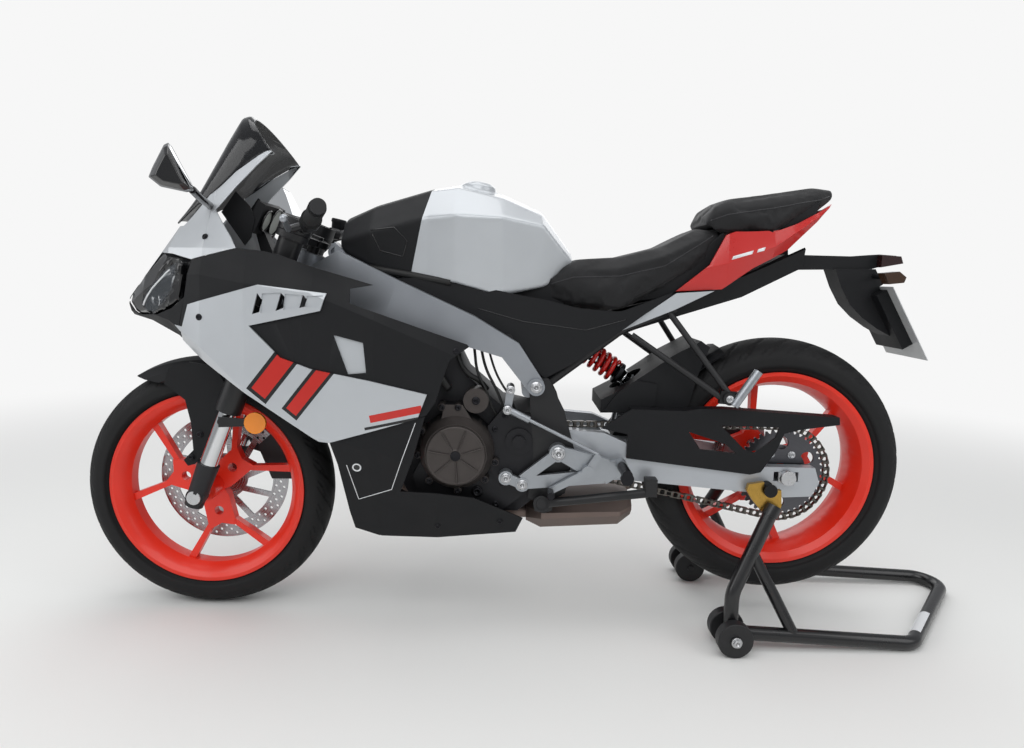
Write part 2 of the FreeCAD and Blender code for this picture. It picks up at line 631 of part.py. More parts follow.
tank = tank_form(TANK_FORM, 0)
cap = fuse([Part.makeCylinder(38, 16, vec(632, 0, 1004), vec(0.12, 0, 1)),
            Part.makeCylinder(27, 8, vec(634, 0, 1018), vec(0.12, 0, 1))])
nodes["fuel_tank_cover"] = fuse([tank, cap])
FRONT_COVER_FORM = (
    (330, 936, 40, 922, 84, 880, 70, 840),
    (400, 968, 58, 956, 122, 900, 104, 820),
    (528, 1008, 66, 996, 132, 935, 118, 806))
nodes["tank_front_cover"] = tank_form(FRONT_COVER_FORM, 0)
# columns: x, top z, side y, low z
SIDE_COVER_FORM = (
    (420, 800, 118, 740),
    (528, 806, 122, 716),
    (640, 790, 126, 700),
    (740, 772, 128, 645),
    (792, 764, 128, 590),
    (860, 748, 126, 628),
    (956, 742, 118, 697),
    (1072, 787, 102, 782))
cover_sections = []
for x, top, y, low in SIDE_COVER_FORM:
    cover_sections.append([vec(x, -y, top), vec(x, -y + PANEL_T, top), vec(x, -y + PANEL_T, low),
                           vec(x, -y, low)])
nodes["side_covers"] = pair(lofted(cover_sections).cut(nodes["fuel_tank_cover"]))

# Seats and tail
# columns: x, half width top, top z, half width side, side z, low half width, low z
RIDER_SEAT_FORM = (
    (762, 60, 812, 84, 800, 86, 770),
    (850, 84, 850, 112, 832, 112, 752),
    (950, 100, 858, 128, 838, 126, 745),
    (1050, 96, 885, 122, 868, 112, 798),
    (1140, 74, 932, 96, 915, 90, 850),
    (1178, 60, 940, 80, 925, 76, 880))


def cushion(table):
    """A seat solid from station rows."""
    sections = []
    for x, y1, z1, y2, z2, y3, z3 in table:
        sections.append([vec(x, -y1, z1), vec(x, -y2, z2), vec(x, -y3, z3), vec(x, y3, z3), vec(x, y2, z2),
                         vec(x, y1, z1)])
    return lofted(sections)


nodes["rider_seat"] = cushion(RIDER_SEAT_FORM).cut(nodes["fuel_tank_cover"])
PASSENGER_SEAT_FORM = (
    (1136, 60, 938, 74, 932, 72, 922),
    (1156, 80, 978, 96, 960, 94, 921),
    (1184, 90, 992, 105, 974, 102, 921),
    (1290, 88, 1009, 105, 988, 102, 928),
    (1400, 66, 1028, 82, 1010, 76, 976),
    (1440, 44, 1029, 56, 1018, 50, 1004))
nodes["passenger_seat"] = cushion(PASSENGER_SEAT_FORM).cut(nodes["rider_seat"])
TAIL_FORM = (
    (1080, 92, 850, 100, 826, 92, 776),
    (1190, 102, 925, 112, 855, 98, 796),
    (1290, 100, 936, 112, 893, 92, 856),
    (1390, 78, 975, 88, 961, 70, 932),
    (1440, 40, 1004, 50, 996, 36, 985))


def inset(table, wall, lift):
    """The same rows pulled in by a wall, with the top raised so that it stays open."""
    return [(x, y1 - wall, z1 + lift, y2 - wall, z2 + lift, y3 - wall, z3 + wall) for x, y1, z1, y2, z2,
            y3, z3 in table]


tail = cushion(TAIL_FORM).cut(cushion(inset(TAIL_FORM, 5, -5)))
TAIL_SIDE = [(1150, 850), (1184, 916), (1218, 930), (1263, 933), (1286, 924), (1342, 945), (1424, 989),
             (1432, 994),
             (1327, 888), (1249, 846), (1182, 797), (1081, 790)]
tail = tail.common(plate(TAIL_SIDE, -FAR, FAR))
nodes["tail_fairing"] = tail
UNDERTRAY_FORM = (
    (960, 70, 740, 100, 735, 90, 690),
    (1085, 60, 786, 84, 775, 70, 730),
    (1240, 56, 836, 74, 828, 60, 780),
    (1380, 44, 900, 56, 892, 44, 850))
tray = cushion(UNDERTRAY_FORM).cut(cushion(inset(UNDERTRAY_FORM, 5, 10)))
nodes["undertray"] = tray.cut(tail)
trim = plate([(956, 697), (1080, 786), (1164, 793), (1078, 749)], -106, -86)
nodes["undertray"] = fuse([nodes["undertray"], trim, mirrored(trim)]).cut(nodes["rider_seat"]).cut(tail)

# Frame
HEAD_R = 33.0
head_low = steer_point(on_axis(HEAD_BOTTOM_Z), 0)
head_high = steer_point(on_axis(HEAD_TOP_Z), 0)
# columns: x, z, lean of the cut in degrees, half height, y middle, half thickness
SPAR = (
    (262, 786, 0, 42, 44, 20),
    (330, 806, 0, 54, 88, 16),
    (454, 760, 20, 41, 130, 15),
    (625, 693, 16, 34, 138, 14),
    (714, 653, 50, 24, 134, 14),
    (773, 573, 59, 20, 128, 14))


def beam(table):
    """A straight-sided beam through rectangular cuts."""
    sections = []
    for x, z, lean, half, y, thick in table:
        up = vec(sin(radians(lean)), 0, cos(radians(lean))) * half
        centre = vec(x, -y, z)
        wide = vec(0, thick, 0)
        sections.append([centre - up - wide, centre + up - wide, centre + up + wide, centre - up + wide])
    return lofted(sections)


PIVOT_X = 826.0
LUG_X = 314.0
LUG_Z = 857.0
PIVOT_Z = 428.0
spar = beam(SPAR)
PIVOT_PLATE = [(756, 588), (800, 592), (838, 520), (864, 430), (846, 330), (800, 300), (762, 318),
               (772, 420)]
pivot_plate = plate(PIVOT_PLATE, -134, -118)
HEAD_LUG = [(296, 800), (296, 842), (304, 876), (318, 879), (338, 860), (352, 840), (345, 800)]
head_lug = plate(HEAD_LUG, -88, -46).cut(plate(HEAD_LUG, -89, -58).common(block(280, 318, -89, -58, 790,
                                                                                900)))
lug_ring = cross_rod(LUG_X, LUG_Z, -62, -46, 17)
head_lug = fuse([head_lug, lug_ring]).cut(cross_rod(LUG_X, LUG_Z, -70, -52, 11))
spar_bolt_boss = cross_rod(773, 573, -150, -120, 19)
half_frame = fuse([spar, pivot_plate, head_lug, spar_bolt_boss])
gusset = block(236, 292, -40, 40, 748, 824)
head = rod(head_low, head_high, HEAD_R)
frame = fuse([head, gusset, half_frame, mirrored(half_frame), cross_rod(756, 560, -125, 125, 14),
              cross_rod(PIVOT_X, PIVOT_Z, -120, 120, 16)])
nodes["main_frame"] = frame.cut(rod(steer_point(on_axis(HEAD_BOTTOM_Z) - 60, 0),
                                    steer_point(on_axis(HEAD_TOP_Z) + 60, 0),
                                    STEM_R + PIVOT_PLAY))
SHOCK_TOP = vec(820, 0, 692)
SHOCK_LOW = vec(1010, 0, 566)
rail_low = bent_tube([vec(796, -104, 574), vec(960, -94, 700), vec(1120, -56, 760), vec(1370, -34, 858)],
                     RAIL_R, RAIL_BEND)
rail_high = bent_tube([vec(704, -106, 674), vec(900, -94, 708), vec(1060, -78, 752), vec(1200, -52, 816)],
                      RAIL_R, RAIL_BEND)
tail_tab = rod(vec(1200, -52, 816), vec(1235, -103, 885), 6)
half_rails = fuse([rail_low, rail_high, tail_tab, cross_rod(796, 574, -118, -94, 15),
                   cross_rod(708, 675, -130, -96, 12),
                   rod(vec(830, -101, 600), vec(802, -100, 691), 8)])
subframe = fuse([half_rails, mirrored(half_rails), cross_rod(830, 600, -101, 101, 9),
                 cross_rod(1245, 809, -45, 45, 9),
                 cross_rod(SHOCK_TOP.x, SHOCK_TOP.z, -100, 100, 9)])
nodes["seat_subframe"] = subframe.cut(nodes["main_frame"])

# Engine: a plain mass with the covers that show outside it
ENGINE_SIDE = [(500, 290), (462, 360), (440, 450), (402, 560), (412, 690), (560, 700), (616, 590),
               (700, 520),
               (800, 500), (806, 330), (740, 276), (560, 276)]
drive_room = plate([(REAR_AXLE_X, REAR_AXLE_Z + ROLLER_LINE_R + 14),
                    (OUTPUT_X, OUTPUT_Z + FRONT_LINE_R + 14),
                    (OUTPUT_X - FRONT_LINE_R - 12, OUTPUT_Z + 34),
                    (OUTPUT_X - FRONT_LINE_R - 12, OUTPUT_Z - 34),
                    (OUTPUT_X, OUTPUT_Z - FRONT_LINE_R - 14), (REAR_AXLE_X,
                                                               REAR_AXLE_Z - ROLLER_LINE_R - 14)],
                   CHAIN_Y - 12, CHAIN_Y + 12)
output = fuse([cross_rod(OUTPUT_X, OUTPUT_Z, CHAIN_Y - 4, CHAIN_Y + 4, FRONT_LINE_R - CHAIN_ROLLER_R - 2.2),
               cross_rod(OUTPUT_X, OUTPUT_Z, CHAIN_Y + 4, CHAIN_Y + 12, FRONT_LINE_R - 12)])
nodes["engine_block"] = fuse([plate(ENGINE_SIDE, -104, 104).cut(drive_room), output])
GENERATOR_X = 600.0
GENERATOR_Z = 423.0
GENERATOR_R = 74.0
cover = turned([(-104, 0), (-104, GENERATOR_R + 14), (-150, GENERATOR_R + 8), (-164, GENERATOR_R),
                (-176, GENERATOR_R - 6),
                (-176, 46), (-170, 42), (-170, 28), (-182, 24), (-182, 0)], GENERATOR_X, GENERATOR_Z)
ribs = []
for index in range(7):
    turn = 2 * pi * index / 7 + 0.3
    root = vec(GENERATOR_X + 24 * cos(turn), -173, GENERATOR_Z + 24 * sin(turn))
    tip = vec(GENERATOR_X + 64 * cos(turn), -173, GENERATOR_Z + 64 * sin(turn))
    ribs.append(arm(root, tip, 4, 11))
neck = plate([(560, 470), (572, 530), (612, 530), (650, 470)], -150, -104)
starter = cross_rod(641, 540, -150, -104, 28)
sprocket_cover = plate([(668, 480), (700, 520), (780, 500), (800, 440), (780, 360), (700, 340),
                        (676, 380)], -134, -104)
sprocket_cover = fuse([sprocket_cover, cross_rod(738, 448, -139, -134, 30),
                       cross_rod(738, 448, -146, -134, 14)])
sprocket_cover = sprocket_cover.cut(nodes["main_frame"])
lower_case = plate([(520, 300), (500, 360), (520, 400), (700, 400), (760, 330), (700, 280), (560, 280)],
                   -128, -104)
covers_left = fuse([cover, neck, starter, sprocket_cover, lower_case] + ribs)
clutch = turned([(104, 0), (104, 82), (140, 76), (156, 66), (156, 48), (150, 44), (150, 0)], 630, 430)
pump = turned([(104, 0), (104, 40), (138, 36), (146, 24), (146, 0)], 530, 350)
covers_right = fuse([clutch, pump, plate([(540, 320), (520, 380), (600, 420), (640, 350)], 104, 130)])
nodes["engine_covers"] = Part.Compound(covers_left.Solids + covers_right.Solids)

# Radiator with its side tanks, behind the front wheel
RADIATOR = [(296, 664), (326, 672), (392, 440), (362, 432)]
core = plate(RADIATOR, -140, 140)
side_tank = plate([(290, 668), (330, 680), (398, 434), (358, 424)], -164, -140)
radiator = [core, side_tank, mirrored(side_tank)]
for y in (-150, 150):
    radiator.append(rod(vec(330, y, 600), vec(440, y * 0.66, 610), 14))
    radiator.append(rod(vec(345, y, 570), vec(345, y * 1.49, 570), 8))
    radiator.append(rod(vec(382, y, 470), vec(382, y * 1.47, 470), 8))
nodes["radiator"] = fuse(radiator)
for hard in ("engine_block", "side_fairings", "fairing_blades", "belly_pan"):
    nodes["radiator"] = nodes["radiator"].cut(nodes[hard])

# Exhaust: two header pipes into one box under the engine, and an outlet on the right
headers = []
for y in (-48, 48):
    headers.append(bent_tube([vec(440, y, 560), vec(408, y, 480), vec(428, y, 300), vec(520, y * 0.6, 250),
                              vec(770, y * 0.6, 254)], HEADER_R, HEADER_BEND))
# columns: x, half width, low z, high z, corner
SILENCER = ((762, 60, 236, 284, 10), (796, 100, 226, 300, 30), (978, 106, 240, 310, 30),
            (1008, 84, 262, 304, 16))
sections = []
for x, half, low, high, corner in SILENCER:
    ring = [(-half + corner, low), (half - corner, low), (half, low + corner), (half, high - corner),
            (half - corner, high), (corner - half, high), (-half, high - corner), (-half, low + corner)]
    sections.append([vec(x, y, z) for y, z in ring])
outlet = rod(vec(960, 86, 280), vec(1030, 122, 292), OUTLET_R)
outlet = outlet.cut(rod(vec(975, 94, 283), vec(1040, 127, 294), OUTLET_R - PANEL_T))
nodes["exhaust"] = fuse(headers + [lofted(sections), outlet]).cut(nodes["engine_block"])

# Swingarm, axle, shock absorber
ARM_FRONT = [(800, 396), (800, 470), (846, 476), (930, 470), (1000, 440)]
ARM_FRONT_LOW = [(990, 362), (930, 362), (846, 384)]
# from here to the hugger, outlines with "rear" are x and z from the rear axle
ARM_REAR = [(-73, 17), (-49, 22), (65, 22), (77, -13), (61, -45), (-10, -49), (-71, -39)]


def by_rear(outline):
    """An outline given from the rear axle, at its place."""
    return [(REAR_AXLE_X + x, REAR_AXLE_Z + z) for x, z in outline]


ARM_SIDE = ARM_FRONT + by_rear(ARM_REAR) + ARM_FRONT_LOW
ARM_OUT = 128.0
ARM_IN = 100.0
arm_body = plate(ARM_SIDE, -ARM_OUT, -ARM_IN)
arm_body = arm_body.cut(plate(PIVOT_PLATE, -140, -116))
slot = plate([(REAR_AXLE_X - 28, REAR_AXLE_Z - 11), (REAR_AXLE_X + 28, REAR_AXLE_Z - 11),
              (REAR_AXLE_X + 28, REAR_AXLE_Z + 11), (REAR_AXLE_X - 28, REAR_AXLE_Z + 11)], -140, -90)
arm_body = arm_body.cut(slot)
cross_box = block(940, 1014, -ARM_IN, ARM_IN, 388, 450)
bracket = plate([(960, 440), (988, 570), (1016, 584), (1030, 560), (1014, 440)], -30, -20)
swingarm = fuse([arm_body, mirrored(arm_body), cross_box, bracket, mirrored(bracket)])
swingarm = swingarm.cut(cross_rod(PIVOT_X, PIVOT_Z, -140, 140, 16))
nodes["swingarm"] = swingarm.cut(nodes["engine_block"]).cut(nodes["main_frame"])
axle = fuse([cross_rod(REAR_AXLE_X, REAR_AXLE_Z, -142, 142, REAR_AXLE_R),
             cross_rod(REAR_AXLE_X, REAR_AXLE_Z, -146, -132, 17),
             cross_rod(REAR_AXLE_X, REAR_AXLE_Z, 132, 146, 17)])
for side in (-1, 1):
    low, high = sorted((side * 134, side * 100))
    axle = axle.fuse(block(REAR_AXLE_X - 19, REAR_AXLE_X + 19, low, high, REAR_AXLE_Z - 11,
                           REAR_AXLE_Z + 11))
    low, high = sorted((side * 100, side * 92.5))
    axle = axle.fuse(cross_rod(REAR_AXLE_X, REAR_AXLE_Z, low, high, 18))
SPOOL_X = 1303.0
SPOOL_Z = 354.0
nodes["rear_axle"] = axle.removeSplitter()
spool = turned([(-ARM_OUT, 0), (-ARM_OUT, 15), (-134, 15), (-139, 9), (-153, 9), (-158, 15), (-163, 15),
                (-163, 0)],
               SPOOL_X, SPOOL_Z)
nodes["stand_spools"] = pair(spool)
shock_top = SHOCK_TOP
shock_low = SHOCK_LOW
shock_line = (shock_low - shock_top).normalize()
shock = [rod(shock_top + shock_line * 14, shock_top + shock_line * 66, 24), rod(shock_top, shock_low, 11),
         cross_rod(shock_top.x, shock_top.z, -20, 20, 16), cross_rod(shock_low.x, shock_low.z, -20, 20, 14)]
SPRING_TURNS = 6
for index in range(SPRING_TURNS):
    start = shock_top + shock_line * (66 + index * 19)
    shock.append(cone(start, start + shock_line * 9.5, 24, 31))
    shock.append(cone(start + shock_line * 9.5, start + shock_line * 19, 31, 24))
shock.append(rod(shock_top + shock_line * 180, shock_top + shock_line * 192, 30))
nodes["shock_absorber"] = fuse(shock)

# Chain guard and hugger
GUARD_REAR = [(-426, 103), (-375, 138), (-359, 148), (-239, 147), (-207, 153), (-148, 154), (107, 141),
              (109, 124),
              (22, 111), (-14, 101), (-29, 61), (-61, 11), (-85, 5), (-366, 36), (-366, 91)]
GUARD_WINDOWS = (
    [(-229, 100), (-145, 74), (-120, 53), (-201, 61)],
    [(-157, 116), (-26, 115), (-34, 91), (-78, 56), (-102, 63)])
LIP_REAR = [(-359, 148), (-239, 147), (-207, 153), (-148, 154), (107, 141), (109, 135), (-148, 149),
            (-207, 148),
            (-239, 142), (-359, 143)]
chain_guard = plate(by_rear(GUARD_REAR), -136, -131)
for window in GUARD_WINDOWS:
    chain_guard = chain_guard.cut(plate(by_rear(window), -140, -120))
top_lip = plate(by_rear(LIP_REAR), -131, -100)
foot = plate(by_rear([(-347, 51), (-347, 67), (-87, 25), (-87, 13)]), -131, -ARM_OUT)
nodes["chain_guard"] = fuse([chain_guard, top_lip, foot])
hug_r = REAR_TYRE_R + 12
HUG_Y = 84.0
hug_section = [(-72, hug_r - 14), (-52, hug_r), (0, hug_r + 6), (52, hug_r), (72, hug_r - 14)]
hug_thick = [(y * 0.95, r - 4) for y, r in reversed(hug_section)]
hugger = turned(hug_section + hug_thick, REAR_AXLE_X, REAR_AXLE_Z)
hug_wedge = plate([(REAR_AXLE_X, REAR_AXLE_Z)] + by_rear([(-447, 76), (-447, 381), (-197, 381)]), -100, 100)
hugger = hugger.common(hug_wedge)
HUG_FOOT = [(-392, 69), (-299, 69), (-299, 117), (-337, 141)]
hug_foot = plate(by_rear(HUG_FOOT), -60, 60)
wheel_room = cross_rod(REAR_AXLE_X, REAR_AXLE_Z, -HUG_Y + PANEL_T, HUG_Y - PANEL_T, hug_r - 2)
hug_foot = hug_foot.cut(wheel_room)
HUG_SIDE = [(-422, 129), (-422, 159), (-371, 187), (-308, 231), (-262, 265), (-199, 300), (-179, 286),
            (-203, 219),
            (-222, 142), (-347, 131)]
HUG_ROOM = [(-426, 100), (-418, 154), (-370, 181), (-306, 225), (-260, 259), (-200, 294), (-185, 284),
            (-208, 219),
            (-226, 100)]
HUG_PAD = [(-417, 133), (-385, 177), (-344, 207), (-295, 199), (-299, 149), (-347, 131)]
hug_box = plate(by_rear(HUG_SIDE), -HUG_Y, HUG_Y).cut(plate(by_rear(HUG_ROOM), -HUG_Y + PANEL_T,
                                                            HUG_Y - PANEL_T))
hug_box = hug_box.cut(wheel_room).cut(rod(SHOCK_TOP, SHOCK_LOW + shock_line * 30, 40))
hug_pad = plate(by_rear(HUG_PAD), -HUG_Y - 5, -HUG_Y)
nodes["hugger"] = fuse([hugger, hug_foot, hug_box, hug_pad]).cut(nodes["swingarm"])

# Rearsets, pegs and pedals
BOSSES = ((711, 369, 16), (748, 355, 16), (826, 428, 20))


def bar_plate(x0, z0, x1, z1, w0, w1, y0, y1):
    """A tapered flat bar in a Y plane."""
    length = hypot(x1 - x0, z1 - z0)
    nx = -(z1 - z0) / length
    nz = (x1 - x0) / length
    return plate([(x0 + nx * w0, z0 + nz * w0), (x1 + nx * w1, z1 + nz * w1), (x1 - nx * w1, z1 - nz * w1),
                  (x0 - nx * w0, z0 - nz * w0)], y0, y1)


rearset = [cross_rod(x, z, -160, -134, r) for x, z, r in BOSSES]
rearset += [bar_plate(711, 369, 748, 355, 11, 11, -158, -146), bar_plate(748, 366, 826, 428, 11, 12, -158,
                                                                         -146),
            bar_plate(748, 358, 930, 378, 14, 16, -158, -146), bar_plate(826, 430, 930, 388, 15, 30, -158,
                                                                         -146),
            bar_plate(925, 384, 975, 404, 26, 14, -158, -146)]
peg = fuse([cross_rod(966, 406, -176, -150, 13), cross_rod(966, 406, -248, -176, PEG_R),
            cross_rod(966, 398, -248, -240, 14)])
left_set = rearset + [peg]
right = [mirrored(shape) for shape in left_set]
right_set = fuse(right + [bar_plate(892, 390, 800, 322, 9, 8, 162, 172), cross_rod(800, 322, 160, 200, 9),
                                       cross_rod(892, 390, 146, 174, 14)])
shift = [cross_rod(892, 390, -174, -146, 14), bar_plate(892, 390, 812, 346, 9, 7, -172, -162),
         cross_rod(810, 343, -202, -160, 8), bar_plate(892, 390, 914, 430, 9, 7, -172, -162),
         rod(vec(914, -168, 430), vec(709, -150, 524), 4), rod(vec(760, -154.5, 500.6),
                                                               vec(709, -150, 524), 8),
         cross_rod(711, 522, -156, -136, 8), bar_plate(711, 522, 717, 566, 8, 9, -150, -142),
         cross_rod(717, 566, -150, -100, 9)]
left_set = fuse(left_set + shift).cut(covers_left)
nodes["rearsets"] = Part.Compound(left_set.Solids + right_set.Solids)
hanger_tubes = [rod(vec(986, -100, 690), vec(1182, -148, 560), 7),
                rod(vec(1062, -88, 752), vec(1196, -148, 572), 7),
                cross_rod(1196, 560, -166, -140, 14), plate([(1176, 548), (1180, 576), (1216, 574),
                                                             (1212, 546)], -156, -142)]
folded_peg = rod(vec(1206, -164, 545), vec(1256, -160, 622), 10)
nodes["passenger_pegs"] = pair(fuse(hanger_tubes + [folded_peg]).cut(nodes["seat_subframe"]))

# Tail end: plate holder, blank plate, lamps
holder_arm = plate([(1267, 838), (1345, 880), (1502, 880), (1564, 886), (1604, 884), (1605, 869),
                    (1549, 852),
                    (1469, 849), (1380, 846), (1268, 832)], -26, 26)
HOLDER_BODY = [(1462, 850), (1556, 852), (1630, 722), (1628, 704), (1606, 697), (1572, 714), (1536, 738),
               (1504, 768),
               (1480, 808)]
holder_body = plate(HOLDER_BODY, -32, 32)
nodes["plate_holder"] = fuse([holder_arm, holder_body])
plate_low = vec(1664, 0, 648)
plate_high = vec(1568, 0, 812)
along = (plate_high - plate_low).normalize()
out = vec(along.z, 0, -along.x)
board = [vec(p.x, y, p.z) for y, p in ((-90, plate_low), (90, plate_low), (90, plate_high),
                                       (-90, plate_high))]
sheet = Part.Face(Part.makePolygon(board + [board[0]])).extrude(out * 2)
backing = [vec(p.x, y, p.z) for y, p in ((-60, plate_low + along * 40), (60, plate_low + along * 40),
                                         (60, plate_high - along * 8), (-60, plate_high - along * 8))]
stay = Part.Face(Part.makePolygon(backing + [backing[0]])).extrude(out * -26)
nodes["number_plate"] = sheet
outside = Part.Face(Part.makePolygon(board + [board[0]])).extrude(out * 60)
nodes["plate_holder"] = fuse([nodes["plate_holder"], stay]).cut(outside).cut(nodes["undertray"])
tail_lamp = plate([(1560, 884), (1604, 882), (1610, 866), (1560, 856)], -48, 48)
stalk = rod(vec(1555, -26, 836), vec(1549, -118, 832), 6)
lens = plate([(1524, 842), (1556, 846), (1572, 834), (1568, 822), (1536, 818)], -136, -104)
indicator = fuse([stalk, lens])
tail_lamp = tail_lamp.cut(holder_arm)
indicator = indicator.cut(nodes["plate_holder"])
nodes["rear_lamps"] = Part.Compound([tail_lamp, indicator, mirrored(indicator)])

# Instruments, mirrors and front stay
STAY = [(190, 752), (200, 800), (158, 856), (138, 906), (120, 900), (140, 820), (170, 762)]
stay_plate = plate(STAY, -20, 20).cut(rod(head_low, head_high, HEAD_R))
dash = plate([(112, 905), (146, 966), (162, 956), (134, 893)], -72, 72)
COWL_CHEEK = [(64, 938), (97, 984), (127, 953), (138, 925), (128, 884), (114, 866)]
cheek = plate(COWL_CHEEK, -74, -70)
lamp_stay = rod(vec(150, -14, 812), vec(28, -146, 800), 7)
lamp_stay = fuse([lamp_stay, rod(vec(28, -146, 800), vec(0, -146, 792), 7)])
nodes["instrument_panel"] = fuse([stay_plate, dash, cheek, mirrored(cheek), lamp_stay,
                                  mirrored(lamp_stay)]).cut(nodes["headlight"])
nodes["instrument_panel"] = nodes["instrument_panel"].cut(nodes["nose_fairing"]).cut(nodes["side_fairings"])
# columns: y, x, low z, middle z, high z, depth
MIRROR_FORM = ((-238, 80, 958, 976, 1000, 10), (-290, 76, 953, 985, 1028, 26),
               (-350, 66, 960, 992, 1036, 24),
               (-380, 58, 975, 990, 1012, 10))
sections = []
for y, x, low, middle, high, depth in MIRROR_FORM:
    sections.append([vec(x + 6, y, low), vec(x + 6, y, high), vec(x - depth * 0.5, y, high - 6),
                     vec(x - depth, y, middle),
                     vec(x - depth * 0.5, y, low + 6)])
mirror = fuse([lofted(sections), rod(vec(56, -106, 946), vec(76, -262, 966), 8),
               cone(vec(50, -96, 944), vec(58, -122, 948), 22, 12)])
nodes["mirrors"] = pair(mirror.cut(OUTER))

# Side stand, folded along the left side
STAND_PIVOT = vec(792, -148, 308)
STAND_AXIS = vec(0, 0.957, -0.290)
STAND_BOLT_R = 7.0
leg_end = vec(1028, -164, 344)
boss = rod(STAND_PIVOT - STAND_AXIS * 12, STAND_PIVOT + STAND_AXIS * 8, 18)
leg = rod(STAND_PIVOT + vec(10, 0, 2), leg_end, 10)
pad = block(1020, 1046, -176, -148, 338, 378)
nodes["side_stand"] = fuse([boss, leg, pad]).cut(rod(STAND_PIVOT - STAND_AXIS * 40,
                                                     STAND_PIVOT + STAND_AXIS * 40, STAND_BOLT_R))
stand_bolt = fuse([rod(STAND_PIVOT - STAND_AXIS * 13, STAND_PIVOT + STAND_AXIS * 40,
                       STAND_BOLT_R - PIVOT_PLAY),
                   rod(STAND_PIVOT - STAND_AXIS * 18, STAND_PIVOT - STAND_AXIS * 12.5, STAND_BOLT_R + 4)])
stand_lug = plate([(772, 332), (822, 332), (818, 288), (800, 282), (778, 286)], -134, -112)
nodes["main_frame"] = fuse([nodes["main_frame"], stand_bolt, stand_lug])

# Paddock stand and its rollers
ROLLER_X = 1221.0
FOOT_Y = 198.0
PIN_R = 8.0
BASE_LEFT_END = vec(1640, -190, STAND_TUBE_R)
base = bent_tube([vec(ROLLER_X, -FOOT_Y, ROLLER_R), BASE_LEFT_END, vec(1938, 178, STAND_TUBE_R),
                  vec(ROLLER_X, FOOT_Y, ROLLER_R)], STAND_TUBE_R, STAND_BEND)
stand = [base]
for side in (-1, 1):
    foot_at = vec(ROLLER_X, side * FOOT_Y, ROLLER_R)
    stand.append(bent_tube([foot_at, vec(1222, side * 194, 128), vec(1306, side * 158, 300)], STAND_TUBE_R,
                           STAND_LEG_BEND))
    stand.append(rod(vec(1268, side * 174, 214), vec(1366, side * 196, 32), 13))
    stand.append(rod(vec(1304, side * 158.8, 296), vec(1316, side * 154, 318), 19))
    low, high = sorted((side * 140, side * 152))
    hook = plate([(1256, 366), (1252, 352), (1266, 330), (1298, 294), (1326, 292), (1333, 318), (1330, 354),
                  (1313.5, 352), (1313.5, 346), (1292.5, 346), (1290, 372)], low, high)
    stand.append(hook)
paddock = fuse(stand)
spool_seat = cross_rod(SPOOL_X, SPOOL_Z, -160, 160, 9)
paddock = paddock.cut(nodes["stand_spools"]).cut(spool_seat)
rollers = []
for side in (-1, 1):
    y_out = FOOT_Y + 46
    y_in = FOOT_Y - 46
    pieces = [cross_rod(ROLLER_X, ROLLER_R, side * y_out, side * (y_out - ROLLER_W), ROLLER_R),
              cross_rod(ROLLER_X, ROLLER_R, side * y_in, side * (y_in + ROLLER_W), ROLLER_R),
              cross_rod(ROLLER_X, ROLLER_R, side * (y_in - 6), side * (y_out + 6), PIN_R)]
    rollers.append(fuse(pieces))
    paddock = paddock.cut(cross_rod(ROLLER_X, ROLLER_R, side * (y_in - 10), side * (y_out + 10),
                                    PIN_R + PIVOT_PLAY))
nodes["paddock_stand"] = paddock
nodes["stand_rollers_left"] = rollers[0]
nodes["stand_rollers_right"] = rollers[1]

# Where two pieces of one body meet, the first gives way to the second
SEATED = (
    ("side_covers", "main_frame"),
    ("side_covers", "undertray"),
    ("tail_fairing", "passenger_seat"),
    ("tail_fairing", "rider_seat"),
    ("shock_absorber", "seat_subframe"),
    ("instrument_panel", "main_frame"),
    ("tank_front_cover", "main_frame"),
    ("undertray", "seat_subframe"),
    ("tail_fairing", "seat_subframe"),
    ("plate_holder", "seat_subframe"),
    ("rearsets", "main_frame"),
    ("passenger_pegs", "undertray"),
    ("side_covers", "seat_subframe"),
)
for soft, hard in SEATED:
    nodes[soft] = nodes[soft].cut(nodes[hard])


def finish():
    """Shift every piece to the final origin and write it."""
    for name, shape in nodes.items():
        shape.translate(vec(ORIGIN_SHIFT, 0, 0))
        if not shape.isValid():
            print("not valid:", name)
        shape.exportStep("parts/" + name + ".step")
        print(name, len(shape.Solids), round(shape.Volume / 1000, 1), [round(v) for v in (
            shape.BoundBox.XMin - ORIGIN_SHIFT, shape.BoundBox.XMax - ORIGIN_SHIFT,
            shape.BoundBox.YMin, shape.BoundBox.YMax, shape.BoundBox.ZMin, shape.BoundBox.ZMax)])


finish()
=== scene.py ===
"""Sport bike on a rear paddock stand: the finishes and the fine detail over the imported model.

Every place is given in the bike's own millimetres, with the front axle at X = 0, +X to the rear,
-Y to the left side and +Z up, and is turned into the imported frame's metres by place().
"""

import logging
from dataclasses import dataclass, replace
from enum import Enum
from math import acos, atan2, cos, hypot, pi, radians, sin
from typing import Callable, Sequence

import bmesh
import bpy
from mathutils import Matrix, Vector
from mathutils.bvhtree import BVHTree

